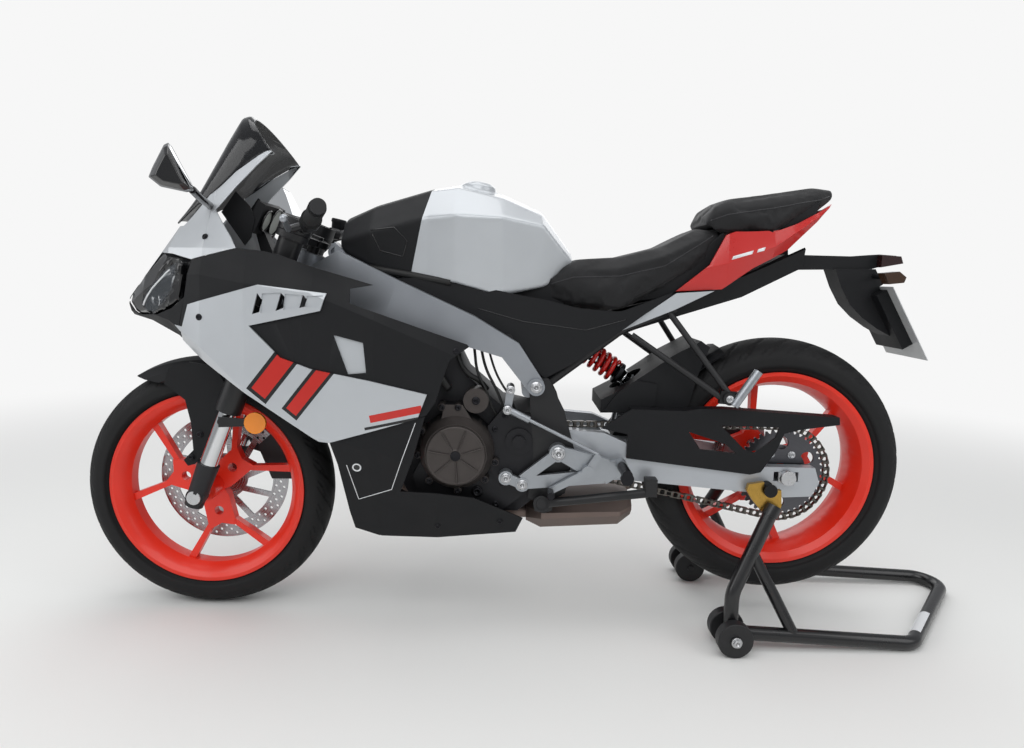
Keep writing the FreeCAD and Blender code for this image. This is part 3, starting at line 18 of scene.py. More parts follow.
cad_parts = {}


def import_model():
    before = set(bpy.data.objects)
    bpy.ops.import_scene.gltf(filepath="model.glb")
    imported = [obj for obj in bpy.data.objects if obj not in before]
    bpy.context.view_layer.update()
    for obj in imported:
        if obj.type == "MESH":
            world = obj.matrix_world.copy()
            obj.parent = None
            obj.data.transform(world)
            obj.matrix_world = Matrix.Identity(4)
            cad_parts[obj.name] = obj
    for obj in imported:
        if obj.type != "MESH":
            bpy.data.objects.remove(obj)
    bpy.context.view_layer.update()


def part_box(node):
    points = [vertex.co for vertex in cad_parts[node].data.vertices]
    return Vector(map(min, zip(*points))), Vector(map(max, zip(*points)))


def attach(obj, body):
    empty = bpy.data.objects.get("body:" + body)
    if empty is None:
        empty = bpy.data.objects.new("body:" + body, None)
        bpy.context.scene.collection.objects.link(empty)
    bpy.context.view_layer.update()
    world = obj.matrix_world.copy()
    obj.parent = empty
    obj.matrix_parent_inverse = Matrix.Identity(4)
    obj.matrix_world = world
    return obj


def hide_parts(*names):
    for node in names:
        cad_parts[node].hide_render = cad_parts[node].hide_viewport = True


LOG = logging.getLogger("sport_bike")
ORIGIN_SHIFT = -803.25
MM = 0.001
# Corners nearer than this become one, and faces that differ by less than this angle
WELD_MM = 0.02
FLAT_DEG = 0.4
FRONT_AXLE = (0.0, 292.9)
REAR_AXLE = (1347.258, 378.9)
RAKE = radians(21.0048)
LEFT = Vector((0, -1, 0)).freeze()
RIGHT = Vector((0, 1, 0)).freeze()
SIDES = ((-1, LEFT), (1, RIGHT))
# Blender's noise hardly leaves this range
NOISE = {1: 0.3, 2: 0.7}
COAT_ROUGHNESS = 0.06
# The background and the far floor
WHITE = (1.0, 1.0, 1.0, 1.0)
WHITE_LEVEL = 0.93
# Rays along Y start this far from the mid-plane, outside everything
RAY_START_MM = 500
# Share of the crown given to a tyre's points that lie beside the crown
OFF_CROWN = 9

Point = tuple[float, float, float]
Corners = tuple[tuple[float, float], ...]
# Columns: x, y, z and size of each bolt
Bolts = tuple[tuple[float, float, float, float], ...]
Mesh = bmesh.types.BMesh
Piece = bpy.types.Object
Tree = bpy.types.NodeTree
Node = bpy.types.Node
Socket = bpy.types.NodeSocket


def place(x: float, y: float, z: float) -> Vector:
    """A point of the bike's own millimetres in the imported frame's metres.

    Args:
        x: distance behind the front axle in mm.
        y: distance to the right of the mid-plane in mm.
        z: height in mm.

    Returns:
        The same point in metres.
    """
    return Vector(((x + ORIGIN_SHIFT) * MM, y * MM, z * MM))


def round_axle(axle: tuple[float, float], radius: float, turn: float, y: float) -> Vector:
    """The place at a radius in mm and a turn in radians round an axle's x and z, in metres."""
    return place(axle[0] + radius * cos(turn), y, axle[1] + radius * sin(turn))


def full_turn(steps: int) -> list[float]:
    """Even steps round a full turn, in radians."""
    return [2 * pi * index / steps for index in range(steps)]


def linear(code: str) -> tuple[float, float, float, float]:
    """Linear colour of an sRGB hex code such as "D8DADC".

    Args:
        code: six hex digits.

    Returns:
        Red, green, blue and alpha.
    """
    parts = [int(code[i:i + 2], 16) / 255 for i in (0, 2, 4)]
    r, g, b = [p / 12.92 if p <= 0.04045 else ((p + 0.055) / 1.055) ** 2.4 for p in parts]
    return (r, g, b, 1.0)


def add_node(tree: Tree, kind: str, values: dict | None = None, links: dict | None = None,
             **settings: object) -> Node:
    """Adds one node with its settings, its values and its incoming links.

    Args:
        tree: the node tree.
        kind: the node's type name.
        values: default values by input name or index.
        links: by input name or index, a socket, or a node for its first output.
        settings: properties of the node itself.

    Returns:
        The new node.
    """
    node = tree.nodes.new(kind)
    for key, value in settings.items():
        setattr(node, key, value)
    for key, value in (values or {}).items():
        node.inputs[key].default_value = value
    for key, source in (links or {}).items():
        tree.links.new(source if isinstance(source, Socket) else source.outputs[0], node.inputs[key])
    return node


class Grain(Enum):
    """How a surface's small relief runs."""

    EVEN = "even"
    CAST = "cast"
    LEATHER = "leather"


@dataclass(frozen=True)
class Finish:
    """One real material with its surface.

    The relief and the colour drift are drawn from Object coordinates at their size in mm.
    """

    name: str
    slot: str
    color: str
    roughness: float
    metallic: float = 0.0
    coat: float = 0.0
    grain: Grain = Grain.EVEN
    grain_mm: float = 1.0
    relief_mm: float = 0.0
    drift: float = 0.0
    drift_mm: float = 60.0
    rough_drift: float = 0.0
    sheen: float = 0.0
    gloss: float = 0.5
    alpha: float = 1.0

    def material(self) -> bpy.types.Material:
        """The finish as a Blender material, made once.

        Returns:
            The material.
        """
        made = bpy.data.materials.get(self.name)
        if made:
            return made
        made = bpy.data.materials.new(self.name)
        made.diffuse_color = linear(self.color)
        made.use_nodes = True
        tree = made.node_tree
        tree.nodes.clear()
        shader = add_node(tree, "ShaderNodeBsdfPrincipled", values={
            "Base Color": linear(self.color), "Roughness": self.roughness, "Metallic": self.metallic,
            "Alpha": self.alpha, "Coat Weight": self.coat, "Coat Roughness": COAT_ROUGHNESS,
            "Sheen Weight": self.sheen, "Specular IOR Level": self.gloss})
        add_node(tree, "ShaderNodeOutputMaterial", links={0: shader})
        self.dress(tree, shader, add_node(tree, "ShaderNodeTexCoord").outputs["Object"])
        return made

    def dress(self, tree: Tree, shader: Node, spot: Socket) -> None:
        """Adds colour drift, roughness drift and relief.

        Args:
            tree: the material's tree.
            shader: its Principled shader.
            spot: Object coordinates in metres.
        """
        self.add_drift(tree, shader, spot, None)
        self.add_relief(tree, shader, spot)

    def add_drift(self, tree: Tree, shader: Node, spot: Socket, color: Socket | None) -> None:
        """Lets the colour and the roughness wander a little over the surface.

        Args:
            tree: the material's tree.
            shader: its Principled shader.
            spot: Object coordinates in metres.
            color: a colour socket to start from, or None for the finish's own colour.
        """
        cloud = add_node(tree, "ShaderNodeTexNoise", values={"Scale": 1000 / self.drift_mm, "Detail": 5.0},
                         links={"Vector": spot})
        if self.drift > 0:
            dark = add_node(tree, "ShaderNodeMapRange", links={0: cloud.outputs["Fac"]},
                            values={**NOISE, 3: 1 - self.drift, 4: 1 + self.drift})
            if color is None:
                color = add_node(tree, "ShaderNodeRGB").outputs[0]
                color.default_value = linear(self.color)
            color = add_node(tree, "ShaderNodeVectorMath", operation="SCALE",
                             links={0: color, "Scale": dark}).outputs[0]
        if color is not None:
            tree.links.new(color, shader.inputs["Base Color"])
        if self.rough_drift > 0:
            rough = add_node(tree, "ShaderNodeMapRange", links={0: cloud.outputs["Fac"]}, values={
                **NOISE, 3: self.roughness - self.rough_drift, 4: self.roughness + self.rough_drift})
            tree.links.new(rough.outputs[0], shader.inputs["Roughness"])

    def add_relief(self, tree: Tree, shader: Node, spot: Socket) -> None:
        """Adds the fine relief of the surface as bump.

        Args:
            tree: the material's tree.
            shader: its Principled shader.
            spot: Object coordinates in metres.
        """
        if self.relief_mm <= 0:
            return
        scale = 1000 / self.grain_mm
        if self.grain is Grain.LEATHER:
            height = add_node(tree, "ShaderNodeTexVoronoi", values={"Scale": scale}, links={"Vector": spot},
                              feature="DISTANCE_TO_EDGE").outputs["Distance"]
        else:
            detail = 3.0 if self.grain is Grain.EVEN else 6.0
            height = add_node(tree, "ShaderNodeTexNoise", values={"Scale": scale, "Detail": detail},
                              links={"Vector": spot}).outputs["Fac"]
        bump = add_node(tree, "ShaderNodeBump", values={"Strength": 0.6, "Distance": self.relief_mm * MM},
                        links={"Height": height})
        tree.links.new(bump.outputs[0], shader.inputs["Normal"])


@dataclass(frozen=True)
class TurnedFinish(Finish):
    """Metal with rings from turning or grinding round an axle along Y."""

    centre: tuple[float, float] = (0.0, 0.0)
    ring_mm: float = 3.0

    def dress(self, tree: Tree, shader: Node, spot: Socket) -> None:
        """Draws rings round the centre in roughness and relief.

        Args:
            tree: the material's tree.
            shader: its Principled shader.
            spot: Object coordinates in metres.
        """
        middle = place(self.centre[0], 0, self.centre[1])
        moved = add_node(tree, "ShaderNodeMapping", links={"Vector": spot},
                         values={"Location": (-middle.x, 0, -middle.z), "Scale": (1, 0, 1)})
        far = add_node(tree, "ShaderNodeVectorMath", operation="LENGTH", links={0: moved})
        rings = add_node(tree, "ShaderNodeTexNoise", noise_dimensions="1D", links={"W": far.outputs["Value"]},
                         values={"Scale": 1000 / self.ring_mm, "Detail": 4.0}).outputs["Fac"]
        rough = add_node(tree, "ShaderNodeMapRange", links={0: rings}, values={
            **NOISE, 3: self.roughness - 0.08, 4: self.roughness + 0.1})
        tree.links.new(rough.outputs[0], shader.inputs["Roughness"])
        bump = add_node(tree, "ShaderNodeBump", values={"Strength": 0.4, "Distance": 0.2 * MM},
                        links={"Height": rings})
        tree.links.new(bump.outputs[0], shader.inputs["Normal"])


@dataclass(frozen=True)
class StripedFinish(Finish):
    """Paint with slanted bands in the side view: columns x, z, angle, half width, length, hex colour."""

    bands: tuple[tuple[float, float, float, float, float, str], ...] = ()

    def dress(self, tree: Tree, shader: Node, spot: Socket) -> None:
        """Paints each band over the base colour.

        Args:
            tree: the material's tree.
            shader: its Principled shader.
            spot: Object coordinates in metres.
        """
        color = add_node(tree, "ShaderNodeRGB").outputs[0]
        color.default_value = linear(self.color)
        for x, z, angle, half, length, code in self.bands:
            middle = place(x, 0, z)
            centred = add_node(tree, "ShaderNodeVectorMath", operation="SUBTRACT", links={0: spot},
                               values={1: (middle.x, 0, middle.z)})
            turned = add_node(tree, "ShaderNodeVectorRotate", rotation_type="Y_AXIS",
                              values={"Angle": radians(angle)}, links={"Vector": centred})
            axes = add_node(tree, "ShaderNodeSeparateXYZ", links={0: turned})
            inside = []
            for axis, reach in ((0, length / 2), (2, half)):
                off = add_node(tree, "ShaderNodeMath", operation="ABSOLUTE", links={0: axes.outputs[axis]})
                inside.append(add_node(tree, "ShaderNodeMath", operation="LESS_THAN",
                                       values={1: reach * MM}, links={0: off}))
            both = add_node(tree, "ShaderNodeMath", operation="MULTIPLY", links={0: inside[0], 1: inside[1]})
            color = add_node(tree, "ShaderNodeMix", data_type="RGBA", links={0: both, 6: color},
                             values={7: linear(code)}).outputs[2]
        self.add_drift(tree, shader, spot, color)
        self.add_relief(tree, shader, spot)


# Wheels: orange-red powder coat, a little rough so that the sky shows only as a soft glow
WHEEL_COAT = Finish("powder_coated_wheel", "wheel_orange_red", "E82C14", 0.36, coat=0.15, drift=0.03,
                    rough_drift=0.05, relief_mm=0.05, grain_mm=1.2)
# Tyre: dull near-black rubber with a dusty drift and a fine cast grain
TYRE = Finish("vulcanised_tyre_rubber", "tyre_rubber", "1B1B1C", 0.72, drift=0.14, drift_mm=40,
              rough_drift=0.08, relief_mm=0.25, grain_mm=1.6, grain=Grain.CAST, gloss=0.3)
# Hoses and seals: rubber with a faint braid, black with a broad highlight
HOSE = Finish("braided_hose_rubber", "hose_rubber", "151515", 0.55, relief_mm=0.3, grain_mm=2.0)
# Brake discs: ground steel whose rings spread the light into a fan
FRONT_DISC = TurnedFinish("ground_disc_steel", "disc_steel", "A9A9AC", 0.28, metallic=1.0, centre=FRONT_AXLE)
REAR_DISC = replace(FRONT_DISC, name="ground_disc_steel_rear", centre=REAR_AXLE)
# Sprocket: hardened steel, darker than the disc, with an oil film
SPROCKET = TurnedFinish("hardened_sprocket_steel", "sprocket_steel", "5E5E62", 0.38, metallic=1.0,
                        centre=REAR_AXLE)
# Chain: brownish steel that glints in spots through its oil
CHAIN_STEEL = Finish("oiled_chain_steel", "sprocket_steel", "6B6762", 0.36, metallic=1.0, drift=0.15,
                     drift_mm=18, rough_drift=0.1)
# Axles and bolts: pale zinc plate, slightly cloudy
ZINC = Finish("zinc_plated_steel", "axle_steel", "C3C4C6", 0.3, metallic=1.0, drift=0.05, drift_mm=12,
              rough_drift=0.06)
# Fork tubes and damper rod: hard chrome, close to a mirror
CHROME = Finish("hard_chromed_tube", "axle_steel", "D9DADC", 0.08, metallic=1.0, rough_drift=0.02)
# Forks, yokes and bars: satin black with a wide soft highlight
SATIN_BLACK = Finish("satin_black_enamel", "fork_black", "19191B", 0.38, drift=0.06, rough_drift=0.06,
                     relief_mm=0.04, grain_mm=1.5)
# Calipers and fork feet: black with the sandy grain of a casting
CAST_BLACK = Finish("black_cast_aluminium", "caliper_dark", "242427", 0.5, metallic=0.3, drift=0.1, drift_mm=20,
                    relief_mm=0.25, grain_mm=2.2, grain=Grain.CAST)
# Silver-white paint: pearl base under a clear coat
SILVER_PAINT = Finish("pearl_silver_paint", "silver_white_paint", "BFC3C7", 0.36, metallic=0.3, coat=0.5,
                      drift=0.015, rough_drift=0.03)
# Bare moulded ABS: matt black with a fine etched grain
BLACK_ABS = Finish("grained_black_abs", "black_panel", "101114", 0.6, drift=0.06, rough_drift=0.05,
                   relief_mm=0.08, grain_mm=1.1, gloss=0.32)
# Smooth ABS: black with a clear reflection of the sky
GLOSS_BLACK = Finish("smooth_black_abs", "black_panel", "121214", 0.24, coat=0.3, rough_drift=0.04)
# Screen: dark smoked sheet through which the bars show faintly
SCREEN = Finish("smoked_polycarbonate", "smoked_screen", "141518", 0.1, coat=0.15, alpha=0.8)
# Lamp lens: clear sheet that shows as bright reflections only
LENS = Finish("clear_polycarbonate", "lamp_lens", "8E949B", 0.06, alpha=0.12)
# Frame spars: silver lacquer on aluminium with a soft metallic sheen
FRAME_SILVER = Finish("silver_painted_aluminium", "frame_silver", "989CA2", 0.4, metallic=0.55, coat=0.2,
                      drift=0.03, rough_drift=0.05, relief_mm=0.05, grain_mm=1.6)
# Brackets: powder-coated steel, black with a faint orange peel
BLACK_STEEL = Finish("black_powder_coated_steel", "black_steel", "161618", 0.46, drift=0.08, rough_drift=0.06,
                     relief_mm=0.08, grain_mm=1.6)
# Paddock stand: thick enamel with a wet line of light along each tube
STAND_BLACK = Finish("black_stand_enamel", "stand_black", "141416", 0.3, coat=0.25, drift=0.08,
                     rough_drift=0.06, relief_mm=0.06, grain_mm=2.0)
# Engine block: dark grey casting with a coarse grain
ENGINE_GREY = Finish("grey_cast_aluminium", "engine_grey", "2A2A2D", 0.55, metallic=0.4, drift=0.14,
                     drift_mm=30, relief_mm=0.35, grain_mm=2.4, grain=Grain.CAST)
# Engine cases: painted die casting, smoother and darker than the block
COVER_GREY = Finish("painted_die_cast_cover", "cover_grey", "222225", 0.45, metallic=0.5, drift=0.08,
                    drift_mm=30, relief_mm=0.12, grain_mm=1.6, grain=Grain.CAST)
# Radiator: matt black, its fins drawn as a relief coarse enough to show
RADIATOR_BLACK = Finish("black_radiator_core", "radiator_black", "1B1B1C", 0.6, metallic=0.3, relief_mm=0.6,
                        grain_mm=3.0)
# Exhaust: stainless steel browned by heat in soft clouds
EXHAUST = Finish("heat_tinted_stainless_steel", "exhaust_steel", "7C6E68", 0.46, metallic=0.8, drift=0.16,
                 drift_mm=90, rough_drift=0.1)
# Spring: clear red lacquer with a wet highlight on each coil
SPRING_RED = Finish("red_lacquered_spring", "shock_red", "D3201A", 0.3, coat=0.5, rough_drift=0.04)
# Rearsets and levers: brushed casting, bright and satin
BRIGHT_ALUMINIUM = Finish("brushed_cast_aluminium", "rearset_aluminium", "A6AAAF", 0.36, metallic=0.85,
                          drift=0.05, drift_mm=25, rough_drift=0.07, relief_mm=0.05, grain_mm=1.5)
# Number plate: white sheet with a fine bead grain, given a light grey colour that holds painted shade
PLATE_WITH_PAINTED_SHADE = Finish("reflective_plate_sheet", "plate_white", "B9BBBC", 0.4, drift=0.03, coat=0.2,
                     rough_drift=0.05, relief_mm=0.05, grain_mm=1.0)
# Stand rollers: scuffed satin black nylon
ROLLER = Finish("moulded_nylon_roller", "roller_plastic", "1A1A1C", 0.5, drift=0.1, drift_mm=15,
                relief_mm=0.15, grain_mm=1.8)
# Stand hooks: golden passivated steel, cloudy in places
BRASS = Finish("yellow_passivated_steel", "axle_steel", "B8934A", 0.32, metallic=1.0, drift=0.12, drift_mm=14,
               rough_drift=0.08)
# Fork reflector: amber acrylic, saturated orange under a gloss
AMBER = Finish("amber_reflector_acrylic", "lamp_lens", "F08A12", 0.12, coat=0.6)
# Mirrors and lamp bowls: silvered glass that shows the sky
SILVERED = Finish("silvered_mirror_glass", "lamp_lens", "E6E8EA", 0.02, metallic=1.0, rough_drift=0.01)
# Seats: dull black vinyl with a leather grain
VINYL = Finish("grained_seat_vinyl", "seat_vinyl", "161618", 0.66, drift=0.07, drift_mm=70, rough_drift=0.06,
               relief_mm=0.3, grain_mm=2.4, grain=Grain.LEATHER, sheen=0.08, gloss=0.35)
# Seat seams: polyester thread, a dull line just paler than the vinyl
THREAD = Finish("spun_polyester_thread", "seat_vinyl", "2A2A2D", 0.8, sheen=0.2)
# Floor of the stage: matt and pale, so that only the contact shadows show
FLOOR = Finish("pale_floor", "", "E9E9E7", 0.9)
# Blades: pearl silver with plain slanted hoops in red and black
BLADE_PAINT = StripedFinish(
    "pearl_silver_paint_with_hoops", "silver_white_paint", "BFC3C7", 0.36, metallic=0.3, coat=0.5, drift=0.015,
    rough_drift=0.03, bands=(
        (236, 618, 52, 26, 170, "1A1A1C"), (236, 618, 52, 18, 154, "C9261C"),
        (300, 574, 52, 20, 150, "1A1A1C"), (300, 574, 52, 13, 136, "C9261C"),
        (476, 520, 12, 8, 110, "C9261C"), (470, 500, 12, 3, 120, "1A1A1C")))
# Tail: deep red paint under a clear coat
TAIL_PAINT = Finish("red_tail_paint", "red_paint", "BF1712", 0.3, coat=0.5, drift=0.02, rough_drift=0.03)
# Rear lamp and indicators: smoked acrylic, nearly black with a hint of their colour
SMOKED_RED = Finish("smoked_red_acrylic", "lamp_lens", "260A0B", 0.1, coat=0.7)
SMOKED_AMBER = Finish("smoked_amber_acrylic", "lamp_lens", "3A2412", 0.12, coat=0.6)
# Grips: soft dull rubber with coarse ribs
GRIP_RUBBER = Finish("ribbed_grip_rubber", "tyre_rubber", "161617", 0.75, relief_mm=0.8, grain_mm=3.0)
# Swingarm: a brighter silver than the frame
SWINGARM_SILVER = replace(FRAME_SILVER, name="silver_cast_swingarm", color="B6BABF", roughness=0.38)
# Plain bars and marks: white vinyl, flat and clean
WHITE_TRIM = Finish("white_vinyl_trim", "plate_white", "E4E6E8", 0.35, coat=0.3, drift=0.02)
# Dark bolts: black oxide that lets some steel glint through
BOLT_BLACK = Finish("black_oxide_bolt", "axle_steel", "2C2C2F", 0.36, metallic=0.9, drift=0.08, drift_mm=6,
                    rough_drift=0.06)
# Round engine covers: warm dark bronze paint on a fine casting
COVER_BROWN = replace(COVER_GREY, name="bronze_painted_cover", color="4B4644", roughness=0.42, metallic=0.6)
# Lamp housing: deep smooth black behind the lens
BEZEL = Finish("smooth_black_bezel", "black_panel", "0E0E10", 0.16, coat=0.5, rough_drift=0.03)
# Dials: pale printed sheet, matt behind their rings
DIAL = Finish("printed_dial_sheet", "plate_white", "B9BDB6", 0.4, drift=0.04, drift_mm=8)


def clean_copy(node: str) -> Mesh:
    """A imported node's mesh with its corners merged and its flat faces joined.

    Args:
        node: the node's name.

    Returns:
        The new mesh.
    """
    mesh = bmesh.new()
    mesh.from_mesh(bpy.data.objects[node].data)
    bmesh.ops.remove_doubles(mesh, verts=mesh.verts, dist=WELD_MM * MM)
    bmesh.ops.dissolve_degenerate(mesh, dist=WELD_MM * MM, edges=mesh.edges)
    bmesh.ops.dissolve_limit(mesh, angle_limit=radians(FLAT_DEG), verts=mesh.verts, edges=mesh.edges,
                             delimit={"NORMAL"})
    return mesh


def new_object(name: str, mesh: Mesh | bpy.types.Mesh, finishes: Sequence[Finish] = ()) -> Piece:
    """An object in the scene from a mesh and its finishes.

    Args:
        name: the piece's name.
        mesh: a BMesh, which is freed, or a mesh.
        finishes: one finish for each material index.

    Returns:
        The object.
    """
    data = mesh
    if isinstance(mesh, Mesh):
        data = bpy.data.meshes.new(name)
        mesh.to_mesh(data)
        mesh.free()
    made = bpy.data.objects.new(name, data)
    bpy.context.scene.collection.objects.link(made)
    for finish in finishes:
        data.materials.append(finish.material())
    return made


def modify(piece: Piece, kind: str, **settings: object) -> None:
    """Adds one modifier with its settings.

    Args:
        piece: the object.
        kind: the modifier's type.
        settings: its properties.
    """
    made = piece.modifiers.new(kind.lower(), kind)
    for key, value in settings.items():
        setattr(made, key, value)


def apply_modifiers(piece: Piece) -> None:
    """Turns a piece's modifiers into plain mesh.

    Args:
        piece: the object.
    """
    graph = bpy.context.evaluated_depsgraph_get()
    mesh = bpy.data.meshes.new_from_object(piece.evaluated_get(graph))
    piece.modifiers.clear()
    piece.data = mesh


def smooth_faces(piece: Piece, smooth: bool = True) -> None:
    """Shades all of a piece's faces smooth, or flat."""
    for face in piece.data.polygons:
        face.use_smooth = smooth


def soften(piece: Piece, width_mm: float = 0.0, steps: int = 2, angle: float = 32.0) -> None:
    """Rounds a piece's edges and shades it smooth, with flat faces kept flat.

    Args:
        piece: the object.
        width_mm: width of the rounding, 0 for none.
        steps: segments of the rounding.
        angle: edges sharper than this are rounded, in degrees.
    """
    smooth_faces(piece)
    if width_mm > 0:
        modify(piece, "BEVEL", width=width_mm * MM, segments=steps, limit_method="ANGLE",
               angle_limit=radians(angle), miter_outer="MITER_ARC", use_clamp_overlap=True)
    modify(piece, "WEIGHTED_NORMAL", keep_sharp=False, weight=60)
    apply_modifiers(piece)


def even_out(piece: Piece, voxel_mm: float, rounds: int) -> None:
    """Rebuilds a piece's skin in even small faces and eases it.

    Args:
        piece: the object.
        voxel_mm: size of the new faces.
        rounds: how often the skin is eased.
    """
    modify(piece, "REMESH", mode="VOXEL", voxel_size=voxel_mm * MM)
    modify(piece, "SMOOTH", iterations=rounds, factor=0.5)
    apply_modifiers(piece)


def cut_away(piece: Piece, mesh: Mesh) -> None:
    """Cuts a mesh's form out of a piece.

    Args:
        piece: the object.
        mesh: the form, which is freed.
    """
    face_out(mesh)
    cutter = new_object(piece.name + "_cut", mesh)
    modify(piece, "BOOLEAN", operation="DIFFERENCE", solver="EXACT", object=cutter)
    apply_modifiers(piece)
    bpy.data.objects.remove(cutter)


def finish_piece(piece: Piece, body: str = "chassis", nodes: Sequence[str] = ()) -> None:
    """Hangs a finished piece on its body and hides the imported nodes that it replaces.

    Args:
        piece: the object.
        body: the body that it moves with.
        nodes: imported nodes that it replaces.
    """
    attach(piece, body)
    if nodes:
        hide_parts(*nodes)
    LOG.info("%s: %d faces on %s", piece.name, len(piece.data.polygons), body)


def plain_piece(name: str, mesh: Mesh, finish: Finish, body: str = "chassis", nodes: Sequence[str] = (),
                round_mm: float = 0.0, steps: int = 2, angle: float = 32.0) -> None:
    """Makes a new mesh a finished piece of one finish.

    Args:
        name: the piece's name.
        mesh: its mesh, which is freed.
        finish: its finish.
        body: the body that it moves with.
        nodes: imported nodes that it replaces.
        round_mm: width of the rounding, 0 for none.
        steps: segments of the rounding.
        angle: edges sharper than this are rounded, in degrees.
    """
    face_out(mesh)
    piece = new_object(name, mesh, [finish])
    soften(piece, round_mm, steps, angle)
    finish_piece(piece, body, nodes)


def face_out(mesh: Mesh) -> None:
    """Merges doubles and turns a mesh's faces outwards."""
    bmesh.ops.remove_doubles(mesh, verts=mesh.verts, dist=1e-6)
    bmesh.ops.recalc_face_normals(mesh, faces=mesh.faces)


def add_loft(mesh: Mesh, rings: Sequence[Sequence[Vector]], closed: bool = True, endless: bool = False) -> None:
    """Adds quads between rings of points, with an end face at each end of a closed form.

    Args:
        mesh: the mesh that grows.
        rings: rings of equal length, in metres.
        closed: False for an open sheet between open rows.
        endless: True to join the last ring to the first in place of the end faces.
    """
    laid = [[mesh.verts.new(p) for p in ring] for ring in rings]
    for here, there in zip(laid, laid[1:] + laid[:1] if endless else laid[1:]):
        for k in range(len(here) if closed else len(here) - 1):
            n = (k + 1) % len(here)
            mesh.faces.new((here[k], here[n], there[n], there[k]))
    if closed and not endless:
        mesh.faces.new(laid[0][::-1])
        mesh.faces.new(laid[-1])


def add_tube(mesh: Mesh, run: Sequence[Vector], radius_mm: float, around: int) -> None:
    """Adds a round tube with closed ends along a line of points.

    Args:
        mesh: the mesh that grows.
        run: the points in metres.
        radius_mm: the tube's radius.
        around: corners round the tube.
    """
    rings = []
    side = None
    for index, spot in enumerate(run):
        ahead = (run[min(index + 1, len(run) - 1)] - run[max(index - 1, 0)]).normalized()
        if side is None:
            side = ahead.orthogonal().normalized()
        side = (side - ahead * side.dot(ahead)).normalized()
        up = ahead.cross(side)
        rings.append([spot + (side * cos(turn) + up * sin(turn)) * radius_mm * MM for turn in full_turn(around)])
    add_loft(mesh, rings)


def add_turned(mesh: Mesh, profile: Sequence[tuple[float, float]], around: int, at: Matrix) -> None:
    """Adds a turned solid about its own Z axis.

    Args:
        mesh: the mesh that grows.
        profile: rows of z and r in mm from the foot to the top, closed by the axis.
        around: corners round the axis.
        at: where it stands, in metres.
    """
    add_loft(mesh, [[at @ (Vector((r * cos(turn), r * sin(turn), z)) * MM) for turn in full_turn(around)]
                    for z, r in profile])


def stand_at(spot: Vector, axis: Vector) -> Matrix:
    """A matrix that puts a shape's foot at a spot with its Z along an axis.

    Args:
        spot: the place in metres.
        axis: the direction of the shape's Z.

    Returns:
        The matrix.
    """
    return Matrix.Translation(spot) @ axis.to_track_quat("Z", "Y").to_matrix().to_4x4()


def surface_of(node: str) -> BVHTree:
    """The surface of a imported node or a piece, for rays."""
    data = bpy.data.objects[node].data
    return BVHTree.FromPolygons([v.co for v in data.vertices], [tuple(p.vertices) for p in data.polygons])


def meet(tree: BVHTree, x: float, z: float, side: int) -> tuple[Vector, Vector] | None:
    """Where a line along Y first meets a surface from outside.

    Args:
        tree: the surface.
        x: place along the bike in mm.
        z: height in mm.
        side: -1 from the left, 1 from the right.

    Returns:
        The point and its outward normal, or None.
    """
    spot, normal, _, _ = tree.ray_cast(place(x, side * RAY_START_MM, z), Vector((0, -side, 0)))
    if spot is None:
        return None
    return spot, normal if normal.y * side > 0 else -normal


@dataclass
class NodeDress:
    """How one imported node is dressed: finishes, rounding and the body that it rides on."""

    node: str
    finish: Finish
    round_mm: float = 1.0
    steps: int = 2
    angle: float = 32.0
    body: str = "chassis"
    more: tuple[Finish, ...] = ()
    pick: Callable[[Vector], int] | None = None
    facet_mm: float = 0.0

    def build(self) -> None:
        """The node's own form with rounded edges, in its finish."""
        mesh = clean_copy(self.node)
        if self.pick:
            for face in mesh.faces:
                x, y, z = face.calc_center_median() / MM
                face.material_index = self.pick(Vector((x - ORIGIN_SHIFT, y, z)))
        if self.facet_mm > 0:
            self.ease_facets(mesh)
        piece = new_object(self.node + "_dressed", mesh, (self.finish,) + self.more)
        soften(piece, self.round_mm, self.steps, self.angle)
        finish_piece(piece, self.body, [self.node])

    def ease_facets(self, mesh: Mesh) -> None:
        """Turns the blunt edges between a moulded panel's facets into wide soft curves.

        Args:
            mesh: the node's mesh.
        """
        # shorter edges and angles outside these, in radians, stay as they are
        shortest, flattest, sharpest = 12 * MM, 0.05, 0.6
        blunt = [edge for edge in mesh.edges if len(edge.link_faces) == 2 and edge.calc_length() > shortest
                 and flattest < edge.calc_face_angle(0) < sharpest]
        bmesh.ops.bevel(mesh, geom=blunt, offset=self.facet_mm * MM, offset_type="OFFSET", segments=4,
                        profile=0.5, affect="EDGES", clamp_overlap=True, miter_outer="ARC")


